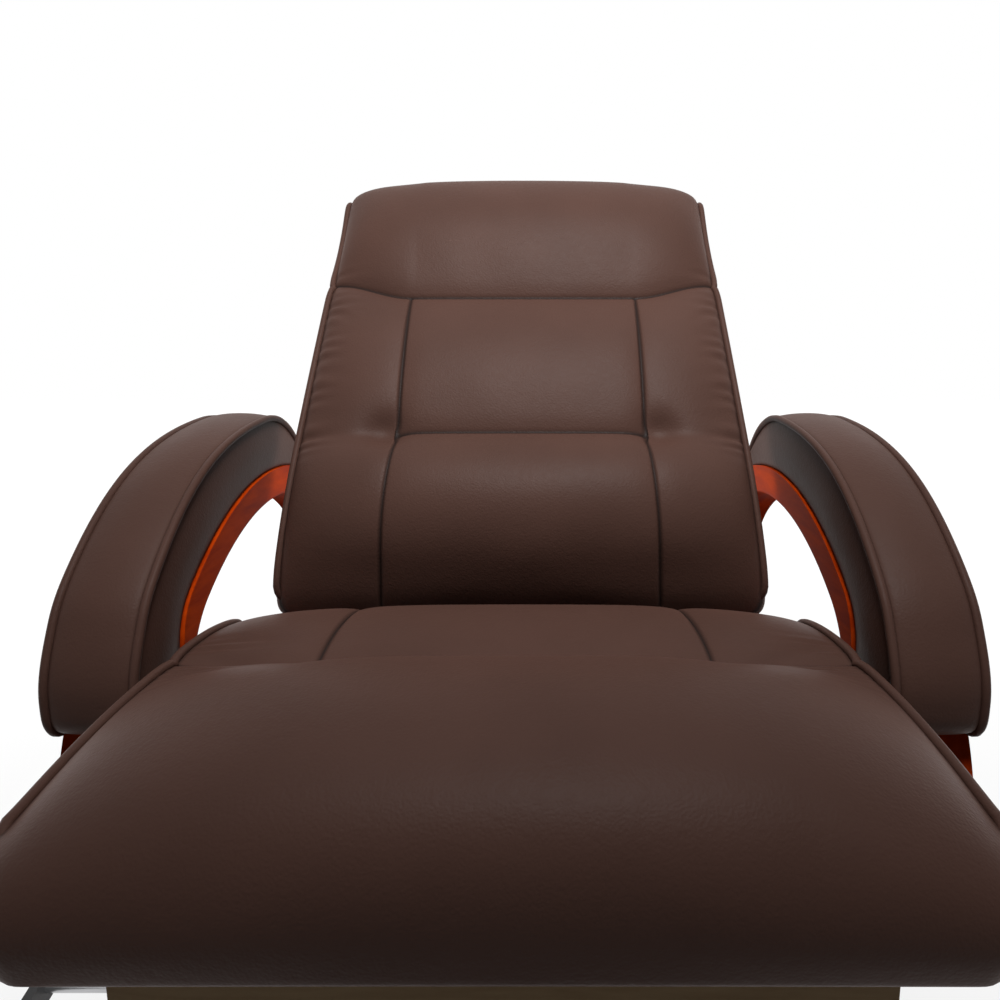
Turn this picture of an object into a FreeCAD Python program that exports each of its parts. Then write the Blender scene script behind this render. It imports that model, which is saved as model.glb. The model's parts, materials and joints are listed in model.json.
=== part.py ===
import FreeCAD
import Part
import math
import os

Vector = FreeCAD.Vector

# Swivel recliner. Millimetres. The sitter faces -Y, +X is the sitter's left, +Z is up.
# The origin is on the floor, on the swivel axis.

# Shared clearances
overrun = 5.0
running_gap = 0.4
soft_gap = 0.4
fit_gap = 0.1

# Arm loops
arm_gap = 25.0
arm_pad_width = 84.0
arm_wood_width = 78.0
arm_rear_width = 32.0
arm_taper_start_y = 190.0
arm_taper_end_y = 345.0
arm_top_height = 589.0
arm_front_radius = 100.0
arm_arc_y = 210.0
arm_front_y = -170.0
arm_drop = 201.0
pad_end_drop = 43.0
pad_end_round = 20.0
pad_thickness = 66.0
pad_front_thickness = 86.0
pad_board_thickness = 6.0
pad_rear_angle = 77.0
pad_round_angle = 92.0
pad_tip_angle = 38.0
pad_rear_radius = 150.0
pad_end_bulge = 9.0
pad_crown = 7.0
pad_section_shares = ((-1.0, -0.3), (-0.82, 0.45), (-0.4, 0.9), (0.0, 1.0), (0.4, 0.9), (0.82, 0.45),
                      (1.0, -0.3))
arm_wood_thickness = 30.0
post_front_y = -180.0
post_shelf_y = -152.0
post_inner_y = -72.0
post_inner_drop = 15.0
post_corner_radius = 62.0
post_inner_round_share = 0.39
foot_bottom = 170.0
foot_thickness = 45.0
arm_rear_y = 400.0
arm_rear_rise = 12.0
arm_rear_thickness = 45.0
arm_rear_inner_drop = 20.0
arm_rear_radius = 110.0
arm_rear_inner_radius = 60.0
arm_joint_y = 40.0
arm_edge_round = 5.0

# Pad screws, driven from under the arm into the pad board
pad_screw_angles = (85.0, 97.0, 110.0, 122.0)
pad_screw_radius = 2.5
pad_screw_head_radius = 6.0
pad_screw_head_height = 3.0

# Chassis under the seat
tube_size = 30.0
tube_wall = 2.5
cross_tube_front_y = -105.0
cross_tube_rear_y = 150.0
spine_x = 100.0
spine_front_y = -320.0
end_plate_thickness = 5.0
end_plate_length = 50.0
end_plate_height = 40.0
riser_size = 25.0
riser_front_y = -300.0
riser_rear_y = -55.0
riser_plate_length = 60.0
riser_plate_thickness = 4.0
frame_bolt_radius = 4.0
frame_bolt_head_radius = 11.0
frame_bolt_head_height = 4.0

# Swivel
plate_size = 230.0
plate_thickness = 5.0
bearing_radius = 72.0
bearing_width = 22.0
bearing_height = 12.0
king_pin_radius = 10.0
king_nut_radius = 17.0
king_nut_height = 8.0
plate_screw_radius = 3.0
plate_screw_head_radius = 6.0
plate_screw_head_height = 3.0
plate_screw_length = 24.0
plate_screw_inset = 18.0

# Base on the floor
glide_radius = 15.0
glide_height = 8.0
glide_count = 8
ring_radius = 312.0
ring_width = 58.0
ring_thickness = 28.0
ring_edge_round = 6.0
arch_width = 64.0
arch_hub_thickness = 32.0
arch_foot_height = 24.0
arch_hub_run = 90.0
arch_bow = 22.0
ring_screw_radius = 4.0
ring_screw_head_radius = 8.0
ring_screw_head_height = 5.0
ring_screw_length = 44.0

# Seat
seat_frame_bottom = 290.0
seat_frame_height = 40.0
seat_frame_front_y = -400.0
seat_frame_rear_y = -22.0
seat_rail_width = 40.0
seat_slat_y = -315.0
seat_slat_width = 70.0
strap_thickness = 1.6
strap_width = 46.0
strap_count = 5
seat_width = 570.0
seat_front_y = -442.0
seat_rear_y = 10.0
seat_thickness = 85.0
seat_low_share = 0.03
seat_bulge_share = 0.5
# Rear top, panel, valley, roll and nose top: share of the depth from the rear, share of the thickness
seat_centre_shares = ((0.02, 0.88), (0.2, 1.09), (0.385, 0.88), (0.64, 1.42), (0.94, 1.02))
seat_edge_shares = ((0.02, 0.72), (0.2, 0.88), (0.385, 0.90), (0.64, 0.87), (0.94, 0.66))
# Share of the half width, fullness between edge and centre, lift of the underside, draw-in of front and rear
seat_section_shares = ((1.0, 0.0, 0.5, 0.05), (0.97, 0.3, 0.26, 0.022), (0.92, 0.58, 0.08, 0.008),
                       (0.86, 0.8, 0.0, 0.0), (0.7, 0.97, 0.0, 0.0), (0.58, 0.9, 0.0, 0.0),
                       (0.46, 1.0, 0.0, 0.0), (0.0, 1.0, 0.0, 0.0))

# Back, in its own frame: s runs up the back, n comes out of its front
back_lean = 37.0
back_origin_y = 16.0
back_origin_z = 452.0
back_low_s = -42.0
back_length = 612.0
back_low_width = 528.0
back_top_width = 474.0
back_edge_thickness = 70.0
# From the underside over the lumbar roll, panel and head roll to the top: shares of the length and thickness
back_centre_shares = ((0.0, 0.5), (0.016, 0.72), (0.044, 0.96), (0.158, 1.56), (0.31, 1.25), (0.468, 1.39),
                      (0.633, 1.17), (0.80, 1.46), (0.959, 1.14), (0.997, 0.62), (0.964, 0.0))
back_edge_shares = ((0.0, 0.34), (0.018, 0.52), (0.06, 0.88), (0.167, 1.16), (0.31, 1.2), (0.468, 1.143),
                    (0.633, 1.03), (0.80, 0.86), (0.935, 0.93), (0.959, 0.5), (0.938, 0.0))
back_section_shares = ((1.0, 0.0), (0.94, 0.5), (0.8, 0.93), (0.6, 0.97), (0.515, 0.86), (0.43, 0.97),
                       (0.0, 1.0))
back_corner_round = 34.0
stile_width = 32.0
stile_depth = 40.0
stile_inset = 14.0
stile_top_s = 505.0
back_rail_height = 50.0
back_rail_low_s = 0.0
back_strap_count = 5
cover_wall = 4.0
cover_inset = 3.0
cover_depth = 60.0
cover_low_s = -36.0
cover_top_s = 530.0
cover_edge_round = 16.0

# Recline hinge and bars
hinge_y = -100.0
hinge_z = 280.0
hinge_pin_radius = 6.0
hinge_head_radius = 11.0
hinge_head_height = 5.0
leaf_thickness = 5.0
leaf_length = 56.0
leaf_eye_radius = 18.0
bar_thickness = 6.0
bar_half_width = 15.0
bar_corner_y = 48.0
bar_corner_z = 252.0
bar_top_s = 190.0
cross_bar_radius = 10.0
bar_bolt_radius = 4.0
bar_bolt_head_radius = 8.0
bar_bolt_head_height = 4.0
bar_bolt_shares = (0.35, 0.9)

# Gas strut and its release lever
horn_radius = 56.0
horn_angle = 35.0
horn_thickness = 8.0
horn_half_width = 11.0
horn_pin_radius = 5.0
horn_pin_length = 34.0
strut_slack = 2.4
strut_anchor_y = -315.0
strut_anchor_drop = 28.0
strut_pin_radius = 5.0
strut_eye_radius = 13.0
strut_eye_width = 12.0
cylinder_radius = 11.0
cylinder_wall = 2.0
cylinder_length = 95.0
rod_radius = 4.5
rod_inside = 50.0
stroke_room = 20.0
fork_wall = 4.0
fork_reach = 30.0
bracket_wall = 4.0
bracket_gap = 26.0
bracket_length = 66.0
lever_shaft_y = -345.0
lever_shaft_radius = 5.0
lever_gap = 11.0
lever_thickness = 6.0
lever_half_width = 9.0
lever_reach_y = -48.0
lever_reach_z = -10.0
grip_length = 52.0
grip_radius = 10.0
finger_reach = 14.0
lever_hanger_thickness = 5.0
lever_hanger_half_width = 14.0

# Places worked out from the sizes above
arm_centre_x = seat_width / 2 + arm_gap + arm_pad_width / 2
arm_inner_x = arm_centre_x - arm_wood_width / 2
arm_outer_x = arm_centre_x + arm_wood_width / 2
pad_front_level = arm_top_height - arm_drop
pad_low_level = pad_front_level - pad_end_drop
post_inner_level = pad_low_level - post_inner_drop
arm_rear_level = pad_front_level + arm_rear_rise
arm_rear_inner_level = arm_rear_level - arm_rear_inner_drop
foot_top = foot_bottom + foot_thickness
post_inner_radius = (post_inner_level - foot_top) * post_inner_round_share
arm_run = arm_arc_y - arm_front_y
arm_square = (arm_run ** 2 + arm_drop ** 2) / 2
arm_arc_radius = (arm_square - arm_run * arm_front_radius) / (arm_drop - arm_front_radius)
arc_centre = (arm_arc_y, arm_top_height - arm_arc_radius)
board_radius = arm_arc_radius - pad_thickness
wood_radius = board_radius - pad_board_thickness
board_front_y = arm_front_y + pad_front_thickness
wood_front_y = board_front_y + pad_board_thickness
tube_z = foot_bottom + foot_thickness / 2
chassis_bottom = tube_z - tube_size / 2
chassis_top = tube_z + tube_size / 2
upper_plate_bottom = chassis_bottom - plate_thickness
bearing_bottom = upper_plate_bottom - running_gap - bearing_height
hub_top = bearing_bottom - plate_thickness
ring_bottom = glide_height
ring_top = ring_bottom + ring_thickness
ring_middle = ring_radius - ring_width / 2
seat_frame_top = seat_frame_bottom + seat_frame_height
seat_base_z = seat_frame_top + strap_thickness + soft_gap
seat_depth = seat_rear_y - seat_front_y
strut_anchor_z = seat_frame_bottom - strut_anchor_drop
lean = math.radians(back_lean)
cover_shares = [(s - back_low_s) / back_length for s in (cover_low_s, cover_top_s)]
cover_halves = [(back_low_width + (back_top_width - back_low_width) * share) / 2 for share in cover_shares]
bar_room = bar_thickness + bar_bolt_head_height
stile_outer_x = min(cover_halves[0] - bar_room, cover_halves[1]) - cover_inset - cover_wall - soft_gap
bar_inner_x = stile_outer_x
bar_outer_x = bar_inner_x + bar_thickness
leaf_outer_x = bar_inner_x - running_gap
seat_rail_x = leaf_outer_x - leaf_thickness
lever_outer_x = seat_width / 2 + lever_gap
stile_front_n = -back_edge_thickness - soft_gap - strap_thickness
stile_middle_n = stile_front_n - stile_depth / 2
cover_front_n = -back_edge_thickness - soft_gap
cover_wall_n = cover_front_n - cover_depth
horn_y = hinge_y - horn_radius * math.sin(math.radians(horn_angle))
horn_z = hinge_z - horn_radius * math.cos(math.radians(horn_angle))


def polar(centre, radius, degrees):
    """A point of the YZ plane, by angle from +Y towards +Z."""
    angle = math.radians(degrees)
    return (centre[0] + radius * math.cos(angle), centre[1] + radius * math.sin(angle))


def turn(centre, radius, start, stop):
    """An arc step: its middle and its end."""
    return (polar(centre, radius, (start + stop) / 2), polar(centre, radius, stop))


def joined(start, steps):
    """Closed wire from a first point and steps, each one point for a line or two for an arc."""
    edges = []
    here = start
    for step in steps:
        if len(step) == 2:
            edges.append(Part.Arc(here, step[0], step[1]).toShape())
        else:
            edges.append(Part.LineSegment(here, step[0]).toShape())
        here = step[-1]
    return Part.Wire(edges)


def outline(x, start, steps):
    """Closed wire in the plane at x, from (y, z) points."""
    placed = [tuple(Vector(x, p[0], p[1]) for p in step) for step in steps]
    return joined(Vector(x, start[0], start[1]), placed)


def prism(x, width, start, steps):
    return Part.Face(outline(x, start, steps)).extrude(Vector(width, 0, 0))


def box(low, high):
    size = high - low
    return Part.makeBox(size.x, size.y, size.z, low)


def rod_x(x_from, x_to, y, z, radius):
    """Round bar along X."""
    low = min(x_from, x_to)
    return Part.makeCylinder(radius, abs(x_to - x_from), Vector(low, y, z), Vector(1, 0, 0))


def rod_z(x, y, z_from, z_to, radius):
    return Part.makeCylinder(radius, z_to - z_from, Vector(x, y, z_from))


def rod_between(a, b, radius):
    along = b - a
    return Part.makeCylinder(radius, along.Length, a, along)


def capsule(x, width, a, b, half):
    """Flat bar in the YZ plane with round ends on a and b."""
    degrees = math.degrees(math.atan2(b[1] - a[1], b[0] - a[0]))
    start = polar(a, half, degrees + 90)
    steps = (turn(a, half, degrees + 90, degrees + 270), (polar(b, half, degrees - 90),),
             turn(b, half, degrees - 90, degrees + 90), (start,))
    return prism(x, width, start, steps)


def mirrored(shape):
    return shape.mirror(Vector(0, 0, 0), Vector(1, 0, 0))


def fused(shapes):
    return shapes[0].multiFuse(shapes[1:]).removeSplitter()


def tangent_radius(radius, run, rise):
    """Radius of the round from the big arc to an upright line run away from its centre, ending at rise."""
    return (radius ** 2 - run ** 2 - rise ** 2) / (2 * (radius - run))


def front_round(radius, y, level):
    """Centre, radius and joining angle of the round at the front of an arc of the arm."""
    size = tangent_radius(radius, arc_centre[0] - y, level - arc_centre[1])
    centre = (y + size, level)
    return centre, size, math.degrees(math.atan2(centre[1] - arc_centre[1], centre[0] - arc_centre[0]))


def rear_round(radius, y, level):
    size = tangent_radius(radius, y - arc_centre[0], level - arc_centre[1])
    centre = (y - size, level)
    return centre, size, math.degrees(math.atan2(centre[1] - arc_centre[1], centre[0] - arc_centre[0]))


def arm_loop_outside(x, width):
    front, front_size, front_angle = front_round(wood_radius, wood_front_y, pad_front_level)
    rear, rear_size, rear_angle = rear_round(wood_radius, arm_rear_y, arm_rear_level)
    low_rear = (arm_rear_y - arm_rear_radius, foot_bottom + arm_rear_radius)
    low_front = (post_front_y + post_corner_radius, foot_bottom + post_corner_radius)
    lean_y = post_shelf_y - post_front_y
    lean_z = pad_low_level - low_front[1]
    lean_radius = (lean_y ** 2 + lean_z ** 2) / (2 * lean_y)
    lean_angle = 180 - math.degrees(math.asin(lean_z / lean_radius))
    start = polar(arc_centre, wood_radius, front_angle)
    steps = (turn(arc_centre, wood_radius, front_angle, rear_angle),
             turn(rear, rear_size, rear_angle, 0),
             ((arm_rear_y, low_rear[1]),),
             turn(low_rear, arm_rear_radius, 0, -90),
             ((low_front[0], foot_bottom),),
             turn(low_front, post_corner_radius, -90, -180),
             turn((post_front_y + lean_radius, low_front[1]), lean_radius, 180, lean_angle),
             ((wood_front_y, pad_low_level),),
             ((wood_front_y, pad_front_level),),
             turn(front, front_size, 180, front_angle))
    return prism(x, width, start, steps)


def arm_loop_inside(x, width):
    radius = wood_radius - arm_wood_thickness
    inner_rear_y = arm_rear_y - arm_rear_thickness
    front, front_size, front_angle = front_round(radius, post_inner_y, post_inner_level)
    rear, rear_size, rear_angle = rear_round(radius, inner_rear_y, arm_rear_inner_level)
    low_rear = (inner_rear_y - arm_rear_inner_radius, foot_top + arm_rear_inner_radius)
    low_front = (post_inner_y + post_inner_radius, foot_top + post_inner_radius)
    start = polar(arc_centre, radius, front_angle)
    steps = (turn(arc_centre, radius, front_angle, rear_angle),
             turn(rear, rear_size, rear_angle, 0),
             ((inner_rear_y, low_rear[1]),),
             turn(low_rear, arm_rear_inner_radius, 0, -90),
             ((low_front[0], foot_top),),
             turn(low_front, post_inner_radius, -90, -180),
             ((post_inner_y, post_inner_level),),
             turn(front, front_size, 180, front_angle))
    return prism(x, width, start, steps)


def pad_screw_line(degrees):
    """From the inside of the arm bow to just under the top of the pad board."""
    inner = polar(arc_centre, wood_radius - arm_wood_thickness, degrees)
    outer = polar(arc_centre, board_radius - pad_board_thickness / 4, degrees)
    return Vector(arm_centre_x, inner[0], inner[1]), Vector(arm_centre_x, outer[0], outer[1])


def pad_screw(degrees, spare):
    """A screw sunk in the underside of the bow; spare widens it into its own hole."""
    inner, outer = pad_screw_line(degrees)
    along = (outer - inner).normalize()
    head_top = inner + along * (2 * pad_screw_head_height)
    start = inner - along * overrun if spare else inner + along * pad_screw_head_height
    head = rod_between(start, head_top + along * spare, pad_screw_head_radius + spare)
    return head.fuse(rod_between(head_top, outer + along * spare, pad_screw_radius + spare))


def frame_bolt(y, spare):
    """Bolt from the outside of an arm loop into the end plate of a cross tube."""
    inner_x = arm_inner_x - end_plate_thickness
    shank = rod_x(inner_x, arm_outer_x, y, tube_z, frame_bolt_radius + spare)
    if spare:
        return shank
    head_x = arm_outer_x + frame_bolt_head_height
    return shank.fuse(rod_x(arm_outer_x, head_x, y, tube_z, frame_bolt_head_radius))


def inner_rim(loop):
    """Edges of the loop's opening on both of its sides."""
    opening = arm_loop_inside(arm_inner_x, arm_wood_width).BoundBox
    opening.enlarge(fit_gap)
    return [edge for edge in loop.Edges if opening.isInside(edge.BoundBox)
            and edge.BoundBox.XLength < fit_gap]


def arm_taper(spare):
    """Region outside the tapering rear of the left arm."""
    wide_x = arm_outer_x + spare
    narrow_x = arm_inner_x + arm_rear_width + spare
    far_x = wide_x + arm_pad_width
    rear_y = arm_rear_y + overrun
    low = foot_bottom - overrun
    corners = ((wide_x, arm_taper_start_y), (narrow_x, arm_taper_end_y), (narrow_x, rear_y), (far_x, rear_y),
               (far_x, arm_taper_start_y), (wide_x, arm_taper_start_y))
    plan = Part.makePolygon([Vector(x, y, low) for x, y in corners])
    return Part.Face(plan).extrude(Vector(0, 0, arm_top_height + pad_crown + overrun - low))


def arm_loop():
    """Whole wooden loop of the left arm, bored for its screws and bolts."""
    loop = arm_loop_outside(arm_inner_x, arm_wood_width)
    loop = loop.cut(arm_loop_inside(arm_inner_x - overrun, arm_wood_width + 2 * overrun))
    loop = loop.makeFillet(min(arm_edge_round, arm_wood_thickness / 3), inner_rim(loop))
    for degrees in pad_screw_angles:
        loop = loop.cut(pad_screw(degrees, fit_gap))
    for y in (cross_tube_front_y, cross_tube_rear_y):
        loop = loop.cut(frame_bolt(y, fit_gap))
    return loop.cut(arm_taper(0))


def rear_half():
    """Region behind the foot joint and under the rear joint of the loop."""
    low = Vector(arm_inner_x - overrun, arm_joint_y, foot_bottom - overrun)
    high = Vector(arm_outer_x + overrun, arm_rear_y + overrun, arm_rear_level)
    return box(low, high)


def arm_bow():
    return arm_loop().cut(rear_half())


def rear_bow():
    return arm_loop().common(rear_half())


def arm_pad_section(offset_share, rise_share):
    x = arm_centre_x + offset_share * arm_pad_width / 2
    rise = rise_share * pad_crown
    inner_radius = board_radius + soft_gap
    outer_radius = arm_arc_radius + rise
    inner_y = board_front_y - soft_gap
    outer_y = arm_front_y - rise
    low = pad_low_level + soft_gap
    inner, inner_size, inner_angle = front_round(inner_radius, inner_y, pad_front_level)
    outer, outer_size, outer_angle = front_round(outer_radius, outer_y, pad_front_level)
    corner = (outer_y + pad_end_round, low + pad_end_round)
    rear = polar(arc_centre, outer_radius - pad_rear_radius, pad_round_angle)
    rear_tip = polar(rear, pad_rear_radius, pad_tip_angle)
    inner_end = polar(arc_centre, inner_radius, pad_rear_angle)
    middle = ((inner_end[0] + rear_tip[0]) / 2, (inner_end[1] + rear_tip[1]) / 2)
    start = (inner_y, low)
    steps = (((inner_y, pad_front_level),),
             turn(inner, inner_size, 180, inner_angle),
             turn(arc_centre, inner_radius, inner_angle, pad_rear_angle),
             (polar(middle, pad_end_bulge, pad_rear_angle - 90), rear_tip),
             turn(rear, pad_rear_radius, pad_tip_angle, pad_round_angle),
             turn(arc_centre, outer_radius, pad_round_angle, outer_angle),
             turn(outer, outer_size, outer_angle, 180),
             ((outer_y, corner[1]),),
             turn(corner, pad_end_round, 180, 270),
             (start,))
    return outline(x, start, steps)


def arm_pad():
    pad = Part.makeLoft([arm_pad_section(*shares) for shares in pad_section_shares], True, False)
    return pad.cut(arm_taper((arm_pad_width - arm_wood_width) / 2))


def arm_pad_board():
    """Bent plywood strip under the pad, as wide as the bow."""
    outer, outer_size, outer_angle = front_round(board_radius, board_front_y, pad_front_level)
    inner, inner_size, inner_angle = front_round(wood_radius, wood_front_y, pad_front_level)
    start = (wood_front_y, pad_low_level)
    steps = (((wood_front_y, pad_front_level),),
             turn(inner, inner_size, 180, inner_angle),
             turn(arc_centre, wood_radius, inner_angle, pad_rear_angle),
             (polar(arc_centre, board_radius, pad_rear_angle),),
             turn(arc_centre, board_radius, pad_rear_angle, outer_angle),
             turn(outer, outer_size, outer_angle, 180),
             ((board_front_y, pad_low_level),),
             (start,))
    board = prism(arm_inner_x, arm_wood_width, start, steps)
    for degrees in pad_screw_angles:
        board = board.cut(pad_screw(degrees, fit_gap))
    return board.cut(arm_taper(0))


def both_sides(shapes):
    return Part.Compound(shapes + [mirrored(shape) for shape in shapes])


def pad_screws():
    return both_sides([pad_screw(degrees, 0) for degrees in pad_screw_angles])


def frame_bolts():
    return both_sides([frame_bolt(y, 0) for y in (cross_tube_front_y, cross_tube_rear_y)])


def cross_tube(y, wall):
    half = tube_size / 2 - wall
    reach = arm_inner_x - end_plate_thickness
    return box(Vector(-reach, y - half, tube_z - half), Vector(reach, y + half, tube_z + half))


def spine_tube(x, wall):
    half = tube_size / 2 - wall
    return box(Vector(x - half, spine_front_y + wall, tube_z - half),
               Vector(x + half, cross_tube_rear_y, tube_z + half))


def end_plate(x, y):
    half_length = end_plate_length / 2
    half_height = end_plate_height / 2
    return box(Vector(x, y - half_length, tube_z - half_height),
               Vector(x + end_plate_thickness, y + half_length, tube_z + half_height))


def riser(x, y):
    half = riser_size / 2
    plate_half = riser_plate_length / 2
    plate_bottom = seat_frame_bottom - riser_plate_thickness
    post = box(Vector(x - half, y - half, chassis_top), Vector(x + half, y + half, plate_bottom))
    plate = box(Vector(x - half, y - plate_half, plate_bottom),
                Vector(x + half, y + plate_half, seat_frame_bottom))
    return post.fuse(plate)


def riser_bore(x, y):
    half = riser_size / 2 - tube_wall
    plate_bottom = seat_frame_bottom - riser_plate_thickness
    return box(Vector(x - half, y - half, chassis_top), Vector(x + half, y + half, plate_bottom))


def chassis():
    """Welded tubes between the arm loops, with risers that carry the seat frame."""
    rows = (cross_tube_front_y, cross_tube_rear_y)
    columns = (-spine_x, spine_x)
    corners = [(x, y) for x in columns for y in (riser_front_y, riser_rear_y)]
    solids = [cross_tube(y, 0) for y in rows] + [spine_tube(x, 0) for x in columns]
    solids += [end_plate(x, y) for y in rows for x in (-arm_inner_x, arm_inner_x - end_plate_thickness)]
    solids += [riser(x, y) for x, y in corners]
    body = fused(solids)
    for y in rows:
        body = body.cut(cross_tube(y, tube_wall))
        body = body.cut(frame_bolt(y, fit_gap)).cut(mirrored(frame_bolt(y, fit_gap)))
    for x in columns:
        body = body.cut(spine_tube(x, tube_wall))
    for x, y in corners:
        body = body.cut(riser_bore(x, y))
    return body


def square_plate(bottom):
    half = plate_size / 2
    return box(Vector(-half, -half, bottom), Vector(half, half, bottom + plate_thickness))


def plate_screw_places():
    reach = plate_size / 2 - plate_screw_inset
    return [(x * reach, y * reach) for x, y in ((1, 0), (0, 1), (-1, 0), (0, -1))]


def plate_screw(x, y, spare):
    head_bottom = hub_top + plate_thickness
    shank = rod_z(x, y, head_bottom - plate_screw_length - spare, head_bottom, plate_screw_radius + spare)
    if spare:
        return shank
    return shank.fuse(rod_z(x, y, head_bottom, head_bottom + plate_screw_head_height, plate_screw_head_radius))


def swivel_upper_plate():
    hole = rod_z(0, 0, upper_plate_bottom - overrun, chassis_bottom + overrun, king_pin_radius + running_gap)
    return square_plate(upper_plate_bottom).cut(hole)


def swivel_lower_plate():
    plate = square_plate(hub_top)
    plate = plate.cut(rod_z(0, 0, hub_top - overrun, bearing_bottom + overrun, king_pin_radius + fit_gap))
    for x, y in plate_screw_places():
        plate = plate.cut(plate_screw(x, y, fit_gap))
    return plate


def thrust_bearing():
    outer = rod_z(0, 0, bearing_bottom, bearing_bottom + bearing_height, bearing_radius)
    return outer.cut(rod_z(0, 0, bearing_bottom - overrun, upper_plate_bottom, bearing_radius - bearing_width))


def king_pin():
    """Fixed pin that holds the upper plate down, with its nut above it."""
    nut_bottom = chassis_bottom + running_gap
    pin = rod_z(0, 0, hub_top, nut_bottom + king_nut_height, king_pin_radius)
    return pin.fuse(rod_z(0, 0, nut_bottom, nut_bottom + king_nut_height, king_nut_radius))


def base_ring():
    ring = rod_z(0, 0, ring_bottom, ring_top, ring_radius)
    ring = ring.cut(rod_z(0, 0, ring_bottom - overrun, ring_top + overrun, ring_radius - ring_width))
    ring = ring.makeFillet(min(ring_edge_round, ring_thickness / 3), top_edges(ring))
    for x, y in ring_screw_places():
        ring = ring.cut(ring_screw(x, y, fit_gap))
    return ring


def top_edges(shape):
    top = shape.BoundBox.ZMax
    return [edge for edge in shape.Edges if edge.BoundBox.ZMin > top - fit_gap]


def ring_screw_places():
    return [(x * ring_middle, y * ring_middle) for x, y in ((1, 0), (0, 1), (-1, 0), (0, -1))]


def ring_screw(x, y, spare):
    """Screw from under the ring into an arch, its head sunk in the ring."""
    head_top = ring_bottom + 2 * ring_screw_head_height
    low = ring_bottom - overrun if spare else head_top - ring_screw_head_height
    head = rod_z(x, y, low, head_top + spare, ring_screw_head_radius + spare)
    return head.fuse(rod_z(x, y, head_top, ring_bottom + ring_screw_length + spare, ring_screw_radius + spare))


def arch():
    """Bent bar along Y that rises from the ring to the hub."""
    foot_out = ring_radius
    foot_in = ring_radius - ring_width
    shoulder = ring_top + arch_foot_height
    hub_low = hub_top - arch_hub_thickness
    over = ((foot_out + arch_hub_run) / 2, (shoulder + hub_top) / 2 + arch_bow)
    under = ((foot_in + arch_hub_run) / 2, (ring_top + hub_low) / 2 + arch_bow)

    def across(point):
        return (-point[0], point[1])

    start = (foot_out, ring_top)
    steps = (((foot_out, shoulder),), (over, (arch_hub_run, hub_top)), ((-arch_hub_run, hub_top),),
             (across(over), (-foot_out, shoulder)), ((-foot_out, ring_top),), ((-foot_in, ring_top),),
             (across(under), (-arch_hub_run, hub_low)), ((arch_hub_run, hub_low),),
             (under, (foot_in, ring_top)), (start,))
    return prism(-arch_width / 2, arch_width, start, steps)


def arch_notch(z_from, z_to):
    half = arch_width / 2 + fit_gap
    return box(Vector(-half, -half, z_from), Vector(half, half, z_to))


def base_cut(shape):
    """Bores for the screws and the king pin's end."""
    for x, y in ring_screw_places():
        shape = shape.cut(ring_screw(x, y, fit_gap))
    for x, y in plate_screw_places():
        shape = shape.cut(plate_screw(x, y, fit_gap))
    return shape


def long_arch():
    """Front to back, with the top of its middle cut for the crossing arch."""
    middle = hub_top - arch_hub_thickness / 2
    return base_cut(arch().cut(arch_notch(middle, hub_top + overrun)))


def cross_arch():
    middle = hub_top - arch_hub_thickness / 2
    turned = arch()
    turned.rotate(Vector(0, 0, 0), Vector(0, 0, 1), 90)
    return base_cut(turned.cut(arch_notch(hub_top - arch_hub_thickness - overrun, middle)))


def glides():
    discs = []
    for i in range(glide_count):
        y, x = polar((0, 0), ring_middle, 360 * (i + 0.5) / glide_count)
        discs.append(rod_z(x, y, 0, glide_height, glide_radius))
    return Part.Compound(discs)


def seat_frame():
    low = Vector(-seat_rail_x, seat_frame_front_y, seat_frame_bottom)
    high = Vector(seat_rail_x, seat_frame_rear_y, seat_frame_top)
    inset = Vector(seat_rail_width, seat_rail_width, -overrun)
    frame = box(low, high).cut(box(low + inset, high - inset))
    slat_half = seat_slat_width / 2
    slat = box(Vector(-seat_rail_x + seat_rail_width, seat_slat_y - slat_half, seat_frame_bottom),
               Vector(seat_rail_x - seat_rail_width, seat_slat_y + slat_half, seat_frame_top))
    return frame.fuse(slat).removeSplitter()


def seat_webbing():
    """Straps across the seat frame."""
    room = seat_frame_rear_y - seat_frame_front_y
    straps = []
    for i in range(strap_count):
        y = seat_frame_front_y + room * (i + 0.5) / strap_count
        straps.append(box(Vector(-seat_rail_x, y - strap_width / 2, seat_frame_top),
                          Vector(seat_rail_x, y + strap_width / 2, seat_frame_top + strap_thickness)))
    return Part.Compound(straps)


def blend(a, b, share):
    return (a[0] + (b[0] - a[0]) * share, a[1] + (b[1] - a[1]) * share)


def seat_section(side_share, full_share, lift_share, draw_share):
    """Side view of the seat cushion at one place across it."""
    x = side_share * seat_width / 2
    low = seat_base_z + lift_share * seat_thickness
    rear_y = seat_rear_y - draw_share * seat_depth / 2
    depth = rear_y - seat_front_y - draw_share * seat_depth
    tops = []
    for edge, centre in zip(seat_edge_shares, seat_centre_shares):
        along, height = blend(edge, centre, full_share)
        tops.append((rear_y - along * depth, seat_base_z + height * seat_thickness))
    rear_top, panel, valley, roll, nose_top = tops
    rear_low = (rear_y - seat_low_share * depth, low)
    nose_low = (rear_y - (1 - seat_low_share) * depth, low)
    rear_middle = (rear_y, low + (rear_top[1] - low) * seat_bulge_share)
    nose_middle = (rear_y - depth, low + (nose_top[1] - low) * seat_bulge_share)
    steps = ((rear_middle, rear_top), (panel, valley), (roll, nose_top), (nose_middle, nose_low), (rear_low,))
    return outline(x, rear_low, steps)


def across_both(shares):
    """A list of sections from the centre out, laid from one side to the other."""
    return [(-row[0],) + row[1:] for row in shares] + list(reversed(shares[:-1]))


def seat_cushion():
    """Lofted across, and flat where it lies on the straps."""
    cushion = Part.makeLoft([seat_section(*row) for row in across_both(seat_section_shares)], True, False)
    reach = seat_width / 2 + overrun
    below = box(Vector(-reach, seat_front_y - overrun, seat_frame_bottom),
                Vector(reach, seat_rear_y + overrun, seat_base_z))
    return cushion.cut(below)


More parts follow.
